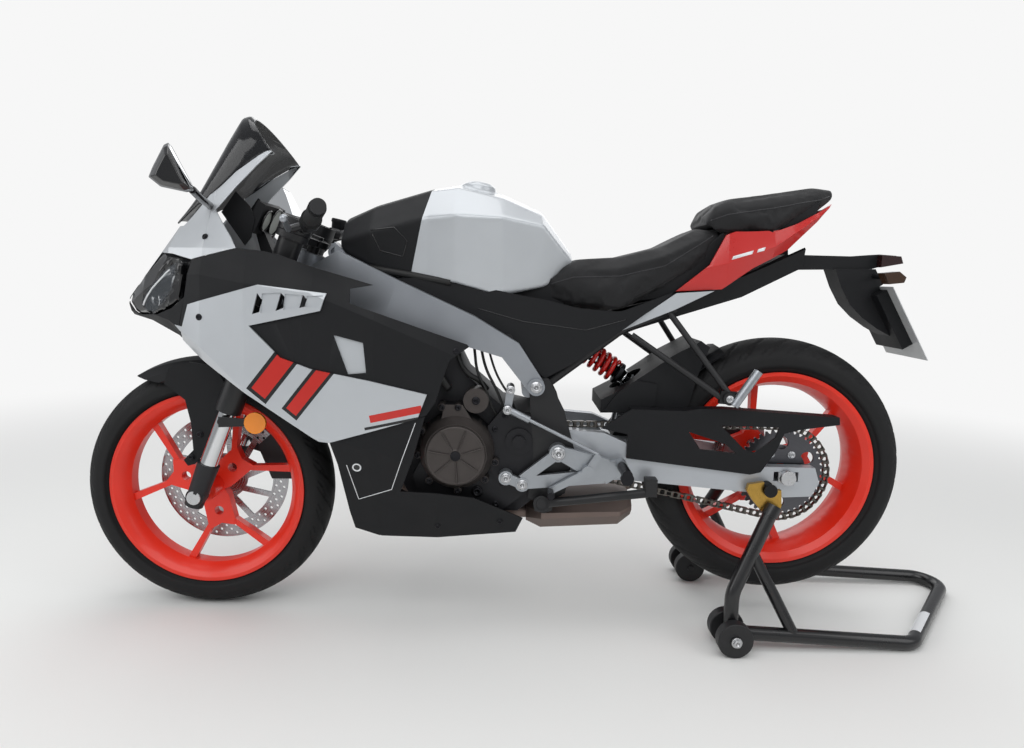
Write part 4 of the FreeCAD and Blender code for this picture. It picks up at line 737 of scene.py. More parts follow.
@dataclass
class Smoothed:
    """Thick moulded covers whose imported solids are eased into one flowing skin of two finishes."""

    name: str
    nodes: tuple[str, ...]
    finish: Finish
    second: Finish
    # two points of the slanted line behind which the second finish starts
    split: Corners = ((532, 1005), (495, 830))
    voxel_mm: float = 3.5
    rounds: int = 14

    def build(self) -> None:
        """The eased skin."""
        mesh = clean_copy(self.nodes[0])
        for node in self.nodes[1:]:
            mesh.from_mesh(bpy.data.objects[node].data)
        bmesh.ops.remove_doubles(mesh, verts=mesh.verts, dist=WELD_MM * MM)
        piece = new_object(self.name, mesh)
        even_out(piece, self.voxel_mm, self.rounds)
        for finish in (self.finish, self.second):
            piece.data.materials.append(finish.material())
        self.split_finish(piece)
        smooth_faces(piece)
        finish_piece(piece, nodes=self.nodes)

    def split_finish(self, piece: Piece) -> None:
        """Cuts the skin along the slanted line and paints what lies behind it.

        Args:
            piece: the skin.
        """
        (x0, z0), (x1, z1) = self.split
        across = Vector((z0 - z1, 0, x1 - x0)).normalized()
        origin = place(x0, 0, z0)
        mesh = bmesh.new()
        mesh.from_mesh(piece.data)
        bmesh.ops.bisect_plane(mesh, geom=mesh.verts[:] + mesh.edges[:] + mesh.faces[:], plane_co=origin,
                               plane_no=across)
        for face in mesh.faces:
            face.material_index = 1 if (face.calc_center_median() - origin).dot(across) > 0 else 0
        mesh.to_mesh(piece.data)
        mesh.free()


@dataclass
class Screen:
    """The smoked bubble screen, one smooth sheet whose edge is tucked behind the nose."""

    # columns: edge x, edge z, half width, ridge x, ridge z
    stations: tuple[tuple[float, float, float, float, float], ...] = (
        (-46, 910, 47, -50, 920), (-20, 930, 57, -27, 946), (6, 950, 66, -4, 976), (40, 966, 78, 30, 1036),
        (82, 994, 88, 68, 1102), (128, 1030, 96, 100, 1154), (166, 1054, 101, 116, 1158),
        (192, 1064, 104, 128, 1149))
    steps: int = 6
    turns: int = 32
    thick_mm: float = 2.6

    def build(self) -> None:
        """Lofts the sheet through arches."""
        rows = []
        for index in range((len(self.stations) - 1) * self.steps + 1):
            at, share = divmod(index, self.steps)
            after = min(at + 1, len(self.stations) - 1)
            ex, ez, half, rx, rz = [a + (b - a) * share / self.steps
                                    for a, b in zip(self.stations[at], self.stations[after])]
            row = []
            for turn in range(self.turns + 1):
                t = pi * turn / self.turns
                rise = sin(t) ** 0.9
                row.append(place(ex + (rx - ex) * rise, -half * cos(t), ez + (rz - ez) * rise))
            rows.append(row)
        mesh = bmesh.new()
        add_loft(mesh, rows, closed=False)
        face_out(mesh)
        piece = new_object("smoked_screen", mesh, [SCREEN])
        modify(piece, "SMOOTH", iterations=3)
        modify(piece, "SOLIDIFY", thickness=self.thick_mm * MM, offset=-1)
        apply_modifiers(piece)
        smooth_faces(piece)
        finish_piece(piece, nodes=["windscreen"])


@dataclass
class Mirrors:
    """Two deep mirror shells on stalks, with glass that faces the rider."""

    # columns: x, z of the side profile; the glass runs from the fourth point to the sixth
    profile: Corners = (
        (16, 983), (24, 1001), (47, 1042), (56, 1046), (88, 979), (100, 961), (87, 957), (38, 966))
    # columns: y, scale, shift to the rear
    stations: tuple[Point, ...] = (
        (240, 0.5, 8), (256, 0.82, 8), (290, 0.98, 4), (330, 1.0, 1), (362, 0.88, -1), (378, 0.6, -3))
    # x, z about which the profile is scaled, then its run to the rear and up for each mm beyond straight_y
    middle: tuple[float, float] = (58.0, 995.0)
    slope: tuple[float, float] = (0.48, -0.13)
    straight_y: float = 300.0
    # columns: x, y, z
    stalk: tuple[Point, ...] = ((50, 92, 944), (58, 122, 948), (72, 200, 955), (84, 266, 965))

    def ring(self, y: float, scale: float, shift: float, side: int) -> list[Vector]:
        """The profile at one station.

        Args:
            y: distance from the mid-plane in mm.
            scale: share of the full profile.
            shift: distance to the rear in mm.
            side: -1 for the left, 1 for the right.

        Returns:
            The corners in metres.
        """
        (mid_x, mid_z), (back, up) = self.middle, self.slope
        out = y - self.straight_y
        return [place(mid_x + (x - mid_x) * scale + shift + back * out, side * y,
                      mid_z + (z - mid_z) * scale + up * out) for x, z in self.profile]

    def build(self) -> None:
        """Shells, stalks and glass."""
        shells, glass = bmesh.new(), bmesh.new()
        out = Vector((0.9, 0, 0.42)).normalized() * 1.2 * MM
        for side in (-1, 1):
            rings = [self.ring(y, scale, shift, side) for y, scale, shift in self.stations]
            add_loft(shells, rings)
            add_tube(shells, [place(x, side * y, z) for x, y, z in self.stalk], 8, 14)
            edges = [(ring[3].lerp(ring[5], 0.06), ring[3].lerp(ring[5], 0.94)) for ring in rings[:-1]]
            add_loft(glass, [(low + out, high + out, high - out, low - out) for low, high in edges])
        plain_piece("mirror_shells", shells, GLOSS_BLACK, nodes=["mirrors"], round_mm=3.0, steps=3, angle=18)
        plain_piece("mirror_glass", glass, SILVERED)


@dataclass
class Wheel:
    """One wheel: treaded tyre and coated rim."""

    name: str
    axle: tuple[float, float]
    radius: float
    width: float
    rim_width: float
    grooves: int = 30
    bead_r: float = 217.0
    flange_r: float = 230.8
    flange_mm: float = 9.0
    # share of the tyre's height that the round crown takes
    crown_share: float = 0.52
    groove_mm: float = 3.2
    segments: int = 540

    def tyre_section(self) -> list[Point]:
        """The tyre's section.

        Returns:
            Rows of y, r and the share of the crown from -1 to 1, or OFF_CROWN.
        """
        half = self.width / 2
        seat = self.rim_width / 2 - self.flange_mm
        shoulder = self.radius - self.crown_share * (self.radius - self.bead_r)
        steps, widest = 44, 86
        crown = []
        for index in range(steps + 1):
            turn = radians(-widest + 2 * widest * index / steps)
            crown.append((half * sin(turn), shoulder + (self.radius - shoulder) * cos(turn),
                          turn / radians(widest)))
        wall = [(y, r, OFF_CROWN) for y, r in (
            (half * 0.998, shoulder - 8), (half * 0.985, shoulder - 18), (half * 0.955, self.flange_r + 12),
            (half * 0.93, self.flange_r + 7), (seat + 6, self.flange_r + 3), (seat + 1, self.flange_r - 1),
            (seat, self.bead_r))]
        return [(-y, r, share) for y, r, share in reversed(wall)] + crown + wall

    def groove_depth(self, share: float, turn: float) -> float:
        """Depth in mm of the tread's grooves at a place on the crown.

        Args:
            share: -1 to 1 across the crown.
            turn: angle round the wheel in radians.

        Returns:
            Depth in mm, 0 on the blocks.
        """
        side, flank = abs(share), 1.0
        # the middle, the shoulder and what lies off the crown stay plain
        if side > 0.86 or side < 0.06:
            return 0.0
        pitch = 2 * pi / self.grooves
        phase = 0.5 * pitch if share > 0 else 0.0
        deepest = 0.0
        # columns: start share, end share, sweep in pitches, shift in pitches, half width in mm
        for start, end, sweep, shift, half in ((0.08, 0.62, 1.15, 0.0, 2.6), (0.34, 0.86, 0.85, 0.48, 2.3),
                                               (0.58, 0.82, 0.35, 0.2, 1.8)):
            if not start <= side <= end:
                continue
            run = (side - start) / (end - start)
            middle = pitch * (shift + sweep * run ** 1.4) + phase
            off = (turn - middle + pitch / 2) % pitch - pitch / 2
            reach = abs(off) * self.radius
            taper = min(1.0, 6 * run, 6 * (1 - run))
            width = half * (0.45 + 0.55 * taper)
            if reach < width + flank:
                depth = self.groove_mm * min(1.0, (width + flank - reach) / 1.2) * min(1.0, taper * 2)
                deepest = max(deepest, depth)
        return deepest

    def build(self) -> None:
        """The tyre with its moulded tread, and the rim."""
        section = self.tyre_section()
        mesh = bmesh.new()
        add_loft(mesh, [[round_axle(self.axle, r - self.groove_depth(share, turn), turn, y)
                         for y, r, share in section] for turn in full_turn(self.segments)], endless=True)
        face_out(mesh)
        piece = new_object(self.name + "_treaded_tyre", mesh, [TYRE])
        smooth_faces(piece)
        finish_piece(piece, self.name + "_wheel", [self.name + "_tyre"])
        NodeDress(self.name + "_rim", WHEEL_COAT, 2.2, 3, body=self.name + "_wheel").build()


@dataclass
class Laid:
    """Something thin that lies on a surface and is drawn in the side view."""

    name: str
    target: str
    points: Corners
    finish: Finish
    body: str = "chassis"
    sides: tuple[int, ...] = (-1, 1)

    def build(self) -> None:
        """The same on each side, as one piece."""
        tree = surface_of(self.target)
        mesh = bmesh.new()
        for side in self.sides:
            self.lay(mesh, tree, side)
        face_out(mesh)
        piece = new_object(self.name, mesh, [self.finish])
        smooth_faces(piece)
        finish_piece(piece, self.body)

    def lay(self, mesh: Mesh, tree: BVHTree, side: int) -> None:
        """Adds one side's share to the mesh."""
        raise NotImplementedError


@dataclass
class Patch(Laid):
    """A thin sheet cut to an outline."""

    lift_mm: float = 0.5
    pitch_mm: float = 14.0

    def lay(self, mesh: Mesh, tree: BVHTree, side: int) -> None:
        """Adds one side's sheet: an outer face, an inner face and the rim between.

        Args:
            mesh: the mesh that grows.
            tree: the surface below.
            side: -1 for the left, 1 for the right.
        """
        flat = bmesh.new()
        flat.faces.new([flat.verts.new(place(x, 0, z)) for x, z in self.points])
        bmesh.ops.triangulate(flat, faces=flat.faces)
        for across, values in zip((Vector((1, 0, 0)), Vector((0, 0, 1))), zip(*self.points)):
            line = min(values) + self.pitch_mm
            while line < max(values):
                bmesh.ops.bisect_plane(flat, geom=flat.verts[:] + flat.edges[:] + flat.faces[:],
                                       plane_co=place(line * across.x, 0, line * across.z), plane_no=across)
                line += self.pitch_mm
        lost = []
        for vert in flat.verts:
            found = meet(tree, vert.co.x / MM - ORIGIN_SHIFT, vert.co.z / MM, side)
            if found is None:
                lost.append(vert)
            else:
                vert.co.y = found[0].y + side * self.lift_mm * MM
        bmesh.ops.delete(flat, geom=lost, context="VERTS")
        sunk = Vector((0, side * (self.lift_mm + 0.4) * MM, 0))
        top = {v: mesh.verts.new(v.co) for v in flat.verts}
        low = {v: mesh.verts.new(v.co - sunk) for v in flat.verts}
        for face in flat.faces:
            mesh.faces.new([top[v] for v in face.verts])
            mesh.faces.new([low[v] for v in reversed(face.verts)])
        for a, b in (edge.verts for edge in flat.edges if len(edge.link_faces) == 1):
            mesh.faces.new((top[a], top[b], low[b], low[a]))
        flat.free()


@dataclass
class Seam(Laid):
    """A thin raised line through points."""

    radius_mm: float = 1.1
    step_mm: float = 9.0

    def lay(self, mesh: Mesh, tree: BVHTree, side: int) -> None:
        """Adds one side's line as a thin tube.

        Args:
            mesh: the mesh that grows.
            tree: the surface below.
            side: -1 for the left, 1 for the right.
        """
        run = []
        for (x0, z0), (x1, z1) in zip(self.points, self.points[1:]):
            count = max(1, int(hypot(x1 - x0, z1 - z0) / self.step_mm))
            for index in range(count):
                share = index / count
                found = meet(tree, x0 + (x1 - x0) * share, z0 + (z1 - z0) * share, side)
                if found:
                    run.append(found[0])
        if len(run) > 2:
            add_tube(mesh, run, self.radius_mm, 6)


@dataclass
class Repeat:
    """Copies of one small shape on a table of places, made by Geometry Nodes and kept as one mesh."""

    name: str
    body: str
    finish: Finish
    shape: Mesh
    # each row: place in metres, direction of the shape's Z, size
    rows: list[tuple[Vector, Vector, float]]
    smooth: bool = True

    def tree(self) -> tuple[Tree, dict[str, str]]:
        """The node tree with its named inputs.

        Returns:
            The tree and the identifiers of its inputs by name.
        """
        tree = bpy.data.node_groups.new(self.name + "_repeat", "GeometryNodeTree")
        face = tree.interface
        face.new_socket("Places", in_out="INPUT", socket_type="NodeSocketGeometry")
        names = {}
        for label, kind in (("Shape", "NodeSocketObject"), ("Scale", "NodeSocketFloat"),
                            ("Finish", "NodeSocketMaterial")):
            names[label] = face.new_socket(label, in_out="INPUT", socket_type=kind).identifier
        face.new_socket("Copies", in_out="OUTPUT", socket_type="NodeSocketGeometry")
        given = add_node(tree, "NodeGroupInput").outputs
        shape = add_node(tree, "GeometryNodeObjectInfo", links={"Object": given["Shape"]})
        turn, size = [add_node(tree, "GeometryNodeInputNamedAttribute", data_type=kind, values={"Name": name})
                      for name, kind in (("turn", "FLOAT_VECTOR"), ("size", "FLOAT"))]
        scale = add_node(tree, "ShaderNodeMath", operation="MULTIPLY",
                         links={0: size.outputs["Attribute"], 1: given["Scale"]})
        copies = add_node(tree, "GeometryNodeInstanceOnPoints", links={
            "Points": given["Places"], "Instance": shape.outputs["Geometry"],
            "Rotation": turn.outputs["Attribute"], "Scale": scale})
        real = add_node(tree, "GeometryNodeRealizeInstances", links={0: copies})
        dressed = add_node(tree, "GeometryNodeSetMaterial", links={"Geometry": real, "Material": given["Finish"]})
        add_node(tree, "NodeGroupOutput", links={0: dressed})
        return tree, names

    def build(self) -> Piece:
        """The copies as one plain mesh on their body.

        Returns:
            The piece.
        """
        places = bpy.data.meshes.new(self.name)
        places.from_pydata([row[0] for row in self.rows], [], [])
        places.attributes.new("turn", "FLOAT_VECTOR", "POINT")
        places.attributes.new("size", "FLOAT", "POINT")
        for index, (_, axis, size) in enumerate(self.rows):
            places.attributes["turn"].data[index].vector = axis.to_track_quat("Z", "Y").to_euler()
            places.attributes["size"].data[index].value = size
        holder = new_object(self.name, places)
        face_out(self.shape)
        single = new_object(self.name + "_shape", self.shape)
        nodes = holder.modifiers.new("copies", "NODES")
        nodes.node_group, names = self.tree()
        nodes[names["Shape"]] = single
        nodes[names["Scale"]] = 1.0
        nodes[names["Finish"]] = self.finish.material()
        apply_modifiers(holder)
        bpy.data.objects.remove(single)
        smooth_faces(holder, self.smooth)
        finish_piece(holder, self.body)
        return holder


def bolt_shape(corners: int = 6, head_mm: float = 5.0) -> Mesh:
    """A bolt head of 10 mm width on a washer, with a hollow, standing on its own Z axis.

    Args:
        corners: corners round the head: 6 for a hexagon, more for a round head.
        head_mm: height of the head.

    Returns:
        The mesh.
    """
    mesh = bmesh.new()
    level = Matrix.Identity(4)
    add_turned(mesh, ((-2.0, 7.0), (0.8, 7.0), (1.4, 6.4)), 18, level)
    add_turned(mesh, ((1.0, 5.4), (head_mm - 0.7, 5.4), (head_mm, 4.8), (head_mm, 2.9), (head_mm - 2.6, 2.7)),
               corners, level)
    return mesh


@dataclass
class Fasteners:
    """All bolts that show, by the body that they sit on."""

    # each row also gets its mirror image
    frame_bolts: Bolts = (
        (773, 150, 573, 1.9), (796, 118, 574, 1.3), (711, 160, 369, 1.7), (748, 160, 355, 1.7),
        (826, 160, 428, 2.2), (1196, 166, 560, 1.2))
    # the shift arm's bolts, on the left only
    arm_bolts: Bolts = ((711, 156, 522, 1.5), (717, 150, 566, 1.4))
    # columns: x, z of the generator cover's bolts, each on a boss, on the left only
    boss_bolts: Corners = (
        (566, 524), (602, 524), (522, 470), (513, 415), (540, 356), (604, 335), (664, 362), (686, 402))
    # the other bolts of the engine's cases, on the left only
    case_bolts: Bolts = (
        (684, 134, 474, 1.0), (706, 134, 506, 1.0), (776, 134, 490, 1.0), (776, 134, 368, 1.0),
        (704, 134, 350, 1.0), (540, 128, 300, 1.0), (690, 128, 300, 1.0), (647, 128, 328, 1.9),
        (641, 150, 540, 1.3))

    def build(self) -> None:
        """Makes each group of bolts."""
        rows = [(place(x, side * y, z), axis, size) for x, y, z, size in self.frame_bolts
                for side, axis in SIDES]
        rows += [(place(x, -y, z), LEFT, size) for x, y, z, size in self.arm_bolts]
        Repeat("frame_bolts", "chassis", ZINC, bolt_shape(), rows).build()
        rows = [(place(x, -152, z), LEFT, 1.0) for x, z in self.boss_bolts]
        rows += [(place(x, -y, z), LEFT, size) for x, y, z, size in self.case_bolts]
        Repeat("case_bolts", "chassis", BOLT_BLACK, bolt_shape(16), rows).build()
        bosses = bmesh.new()
        for x, z in self.boss_bolts:
            add_turned(bosses, ((0, 9.5), (38, 8.5), (40, 7.5)), 20, stand_at(place(x, -112, z), LEFT))
        plain_piece("case_bosses", bosses, COVER_BROWN)
        rows = [(place(x, side * 76, z), axis, 1.1) for x, z in ((1, 432), (-20, 377)) for side, axis in SIDES]
        rows += [(place(x, 90, z), RIGHT, 1.5) for x, z in ((78, 368), (118, 402))]
        Repeat("fork_bolts", "steering", BOLT_BLACK, bolt_shape(16), rows).build()
        rows = [(round_axle(FRONT_AXLE, 45, turn, 68.2), RIGHT, 1.1) for turn in full_turn(5)]
        Repeat("front_disc_bolts", "front_wheel", BOLT_BLACK, bolt_shape(16), rows).build()
        rows = [(round_axle(REAR_AXLE, 42, turn, 76.2), RIGHT, 1.1) for turn in full_turn(5)]
        rows += [(round_axle(REAR_AXLE, 48, turn, -91), LEFT, 1.3) for turn in full_turn(6)]
        Repeat("rear_wheel_bolts", "rear_wheel", ZINC, bolt_shape(), rows).build()
        for (side, axis), body in zip(SIDES, ("left_rollers", "right_rollers")):
            Repeat(body + "_bolt", body, ZINC, bolt_shape(), [(place(1221, side * 249, 39), axis, 1.7)]).build()


@dataclass
class Perforated:
    """A brake disc whose band has rows of round holes."""

    node: str
    body: str
    axle: tuple[float, float]
    y: float
    finish: Finish
    # columns: radius of the row, holes, hole radius, start angle in degrees
    hole_rows: tuple[tuple[float, int, float, float], ...]
    # the drills reach this far to each side of y
    reach_mm: float = 9.0

    def build(self) -> None:
        """Cuts the holes and dresses the disc."""
        piece = new_object(self.node + "_drilled", clean_copy(self.node), [self.finish])
        drills = bmesh.new()
        for radius, count, hole, start in self.hole_rows:
            for turn in full_turn(count):
                spot = round_axle(self.axle, radius, turn + radians(start), self.y - self.reach_mm)
                add_turned(drills, ((0, hole), (2 * self.reach_mm, hole)), 12, stand_at(spot, RIGHT))
        cut_away(piece, drills)
        soften(piece)
        finish_piece(piece, self.body, [self.node])


@dataclass
class Chain:
    """The drive chain with its link plates and rollers."""

    pitch: float = 15.875
    output: tuple[float, float] = (722.0, 440.0)
    rear_teeth: int = 42
    front_teeth: int = 15
    y: float = -88.0

    def loop(self) -> list[tuple[Vector, float]]:
        """Rollers' centres round the loop with the direction of travel.

        Returns:
            Places in mm in the side view and angles in radians.
        """
        big = self.pitch / (2 * sin(pi / self.rear_teeth)) + 1.5
        small = self.pitch / (2 * sin(pi / self.front_teeth)) + 1.5
        dx, dz = REAR_AXLE[0] - self.output[0], REAR_AXLE[1] - self.output[1]
        tilt = atan2(dz, dx)
        lean = acos((big - small) / hypot(dx, dz))
        line = []
        for centre, radius, start, end, steps in ((REAR_AXLE, big, tilt + pi - lean, tilt - pi + lean, 90),
                                                  (self.output, small, tilt - pi + lean, tilt - pi - lean, 30)):
            for index in range(steps + 1):
                turn = start + (end - start) * index / steps
                line.append(Vector((centre[0] + radius * cos(turn), centre[1] + radius * sin(turn))))
        line.append(line[0])
        lengths = [(b - a).length for a, b in zip(line, line[1:])]
        count = 2 * round(sum(lengths) / self.pitch / 2)
        step = sum(lengths) / count
        rollers, leg, used = [], 0, 0.0
        for index in range(count):
            goal = index * step
            while used + lengths[leg] < goal:
                used += lengths[leg]
                leg += 1
            share = (goal - used) / lengths[leg]
            rollers.append(line[leg].lerp(line[leg + 1], share))
        return [(a.lerp(b, 0.5), atan2(b.y - a.y, b.x - a.x)) for a, b in zip(rollers, rollers[1:] + rollers[:1])]

    def link(self, wide: bool) -> Mesh:
        """One link of two waisted plates and its pins, along its own Z axis.

        Args:
            wide: True for an outer link.

        Returns:
            The mesh.
        """
        mesh = bmesh.new()
        sides, reach, radius = ((7.2, 5.6), 7.45, 2.4) if wide else ((5.4, 3.9), 4.6, 4.3)
        outline = []
        for end in (1, -1):
            for index in range(7):
                turn = radians(-90 + 180 * index / 6)
                outline.append((end * (self.pitch / 2 + 6.2 * cos(turn)), end * 6.2 * sin(turn)))
            outline.append((0.0, end * 4.6))
        for side in (-1, 1):
            add_loft(mesh, [[Vector((u, side * y, v)) * MM for v, u in outline] for y in sides])
            at = stand_at(Vector((0, -reach, side * self.pitch / 2)) * MM, RIGHT)
            add_turned(mesh, ((0, radius), (2 * reach, radius)), 10, at)
        return mesh

    def build(self) -> None:
        """Outer and inner links in turn round the loop."""
        loop = self.loop()
        for share, wide in enumerate((True, False)):
            rows = [(place(middle.x, self.y, middle.y), Vector((cos(turn), 0, sin(turn))), 1.0)
                    for middle, turn in loop[share::2]]
            piece = Repeat("chain_outer_links" if wide else "chain_inner_links", "chassis", CHAIN_STEEL,
                           self.link(wide), rows, smooth=False).build()
            if wide:
                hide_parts("drive_chain")


@dataclass
class Shock:
    """The shock absorber with a coiled spring."""

    top: Point = (820.0, 0.0, 692.0)
    low: Point = (1010.0, 0.0, 566.0)
    spring: tuple[float, float] = (66.0, 180.0)
    coils: float = 6.2
    coil_r: float = 25.2
    wire_r: float = 5.4

    def build(self) -> None:
        """The damper and its spring."""
        top, low = place(*self.top), place(*self.low)
        at = stand_at(top, (low - top).normalized())
        length = (low - top).length / MM
        damper, rod, coil = bmesh.new(), bmesh.new(), bmesh.new()
        for z0, z1, r in ((14, 62, 21), (62, 67, 24), (180, 190, 27)):
            add_turned(damper, ((z0, r - 1), (z0 + 1, r), (z1 - 1, r), (z1, r - 1)), 28, at)
        for spot, r in ((top, 15), (low, 13.5)):
            add_turned(damper, ((0, r), (40, r)), 24, stand_at(spot + 20 * MM * LEFT, RIGHT))
        plain_piece("damper", damper, BOLT_BLACK, nodes=["shock_absorber"])
        add_turned(rod, ((60, 15), (186, 15)), 24, at)
        add_turned(rod, ((188, 17), (length - 14, 17)), 24, at)
        plain_piece("damper_body", rod, CHROME)
        first, last = self.spring[0] + self.wire_r, self.spring[1] - self.wire_r
        steps = int(self.coils * 20)
        run = []
        for index in range(steps + 1):
            turn = 2 * pi * self.coils * index / steps
            along = first + (last - first) * index / steps
            run.append(at @ (Vector((self.coil_r * cos(turn), self.coil_r * sin(turn), along)) * MM))
        add_tube(coil, run, self.wire_r, 10)
        plain_piece("coil_spring", coil, SPRING_RED)


@dataclass
class HeadLamp:
    """The twin lamp: a black housing with a lit chamber behind a clear lens on each side."""

    lens: Corners = ((-124, 729), (-104, 752), (-79, 776), (-40, 804), (-9, 824), (-4, 796), (-20, 764),
                     (-41, 741), (-94, 704))
    floor_y: float = 52.0

    def build(self) -> None:
        """Cuts the chambers, then adds bowl, projector and lens."""
        Patch("lamp_lenses", "headlight", self.lens, LENS, lift_mm=0.8, pitch_mm=12.0).build()
        housing = new_object("lamp_housing", clean_copy("headlight"), [BEZEL])
        chambers, backs = bmesh.new(), bmesh.new()
        for side in (-1, 1):
            self.prism(chambers, 0.94, side * self.floor_y, side * 240)
            self.prism(backs, 1.04, side * (self.floor_y - 2), side * (self.floor_y + 2))
        cut_away(housing, chambers)
        soften(housing)
        finish_piece(housing, nodes=["headlight"])
        plain_piece("lamp_backs", backs, BEZEL)
        self.projectors()
        Seam("daylight_strips", "lamp_lenses", (
            (-116, 728), (-98, 748), (-76, 768), (-40, 794), (-16, 812)), WHITE_TRIM, radius_mm=2.0,
            step_mm=6.0).build()

    def prism(self, mesh: Mesh, grow: float, y0: float, y1: float) -> None:
        """Adds a prism of the lens outline.

        Args:
            mesh: the mesh that grows.
            grow: scale about the outline's middle.
            y0: one end in mm.
            y1: the other end in mm.
        """
        mid_x, mid_z = [sum(values) / len(values) for values in zip(*self.lens)]
        add_loft(mesh, [[place(mid_x + (x - mid_x) * grow, y, mid_z + (z - mid_z) * grow)
                         for x, z in self.lens] for y in (y0, y1)])

    def projectors(self) -> None:
        """A bright bowl with a dark glossy ball in each chamber."""
        bowls, balls = bmesh.new(), bmesh.new()
        for side in (-1, 1):
            axis = Vector((-0.55, side * 0.8, -0.05)).normalized()
            for x, y, z, r in ((-36, 62, 776, 25), (-88, 58, 738, 17)):
                at = stand_at(place(x, side * y, z), axis)
                add_turned(bowls, ((-4, r * 0.5), (0, r), (9, r * 1.04), (12, r), (8, r * 0.86), (2, r * 0.4)),
                           28, at)
                add_turned(balls, ((1, r * 0.62), (5, r * 0.6), (10, r * 0.45), (12.5, r * 0.2)), 24, at)
        plain_piece("lamp_bowls", bowls, SILVERED)
        plain_piece("lamp_projectors", balls, GLOSS_BLACK)


@dataclass
class Cushion:
    """A seat pad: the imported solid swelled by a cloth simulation."""

    node: str
    cap_mm: float = 7.0
    voxel_mm: float = 5.5
    shrink_mm: float = 2.5
    rounds: int = 9
    pressure: float = 4.0
    frames: int = 20

    def build(self) -> None:
        """The padded piece that replaces the node."""
        pad = new_object(self.node + "_pad", clean_copy(self.node))
        low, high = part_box(self.node)
        even_out(pad, self.voxel_mm, self.rounds)
        start = [v.co - v.normal * self.shrink_mm * MM for v in pad.data.vertices]
        for vert, spot in zip(pad.data.vertices, start):
            vert.co = spot
        self.swell(pad, start)
        for vert in pad.data.vertices:
            vert.co = Vector([min(max(c, a), b) for c, a, b in zip(vert.co, low, high)])
        modify(pad, "SUBSURF", levels=1, render_levels=1)
        apply_modifiers(pad)
        pad.data.materials.append(VINYL.material())
        smooth_faces(pad)
        finish_piece(pad, nodes=[self.node])

    def swell(self, pad: Piece, start: Sequence[Vector]) -> None:
        """Blows the cover up a little and keeps each point near its start.

        Args:
            pad: the object.
            start: the points before the simulation.
        """
        cloth = pad.modifiers.new("swell", "CLOTH")
        cloth.settings.use_pressure = True
        cloth.settings.uniform_pressure_force = self.pressure
        cloth.settings.effector_weights.gravity = 0.0
        cloth.point_cache.frame_start = 1
        cloth.point_cache.frame_end = self.frames
        scene = bpy.context.scene
        for frame in range(1, self.frames + 1):
            scene.frame_set(frame)
        graph = bpy.context.evaluated_depsgraph_get()
        moved = [v.co.copy() for v in pad.evaluated_get(graph).data.vertices]
        pad.modifiers.remove(cloth)
        scene.frame_set(1)
        for vert, a, b in zip(pad.data.vertices, start, moved):
            step = b - a
            far = step.length
            if far > self.cap_mm * MM:
                step *= self.cap_mm * MM / far
            vert.co = a + step


class Cockpit:
    """Dials and the brake fluid pot round the bars."""

    def build(self) -> None:
        """Makes the dials and the pot."""
        dials, faces, pot = bmesh.new(), bmesh.new(), bmesh.new()
        for y, r in ((26, 34), (-34, 26)):
            at = stand_at(place(148, y, 925), Vector((63, 0, -28)).normalized())
            add_turned(dials, ((-2, r), (5, r), (6, r - 2), (2.5, r - 3)), 36, at)
            add_turned(faces, ((1, r - 3), (3, r - 3)), 36, at)
        add_turned(pot, ((0, 13), (3, 15), (24, 17), (26, 19), (33, 19), (35, 17)), 28,
                   stand_at(place(262, 172, 912), Vector((0.2, 0, 1)).normalized()))
        plain_piece("dial_rings", dials, GLOSS_BLACK)
        plain_piece("dial_faces", faces, DIAL)
        plain_piece("brake_fluid_pot", pot, BLACK_ABS, "steering")


@dataclass
class StandLabel:
    """The blank white label round the stand's rear bar."""

    start: Point = (1640.0, -190.0, 16.0)
    end: Point = (1938.0, 178.0, 16.0)
    share: tuple[float, float] = (0.08, 0.34)
    radii: tuple[float, float] = (16.2, 16.7)
    first_deg: float = -50.0
    sweep_deg: float = 170.0
    steps: int = 14

    def build(self) -> None:
        """Wraps the label over the bar's upper and outer side."""
        a, b = place(*self.start), place(*self.end)
        line = (b - a).normalized()
        out, up = Vector((line.y, -line.x, 0)), Vector((0, 0, 1))
        near, far = [a.lerp(b, t) for t in self.share]
        rings = []
        for index in range(self.steps + 1):
            turn = radians(self.first_deg + self.sweep_deg * index / self.steps)
            inner, outer = [(up * sin(turn) - out * cos(turn)) * MM * radius for radius in self.radii]
            rings.append([near + inner, far + inner, far + outer, near + outer])
        mesh = bmesh.new()
        add_loft(mesh, rings)
        plain_piece("blank_label", mesh, WHITE_TRIM)


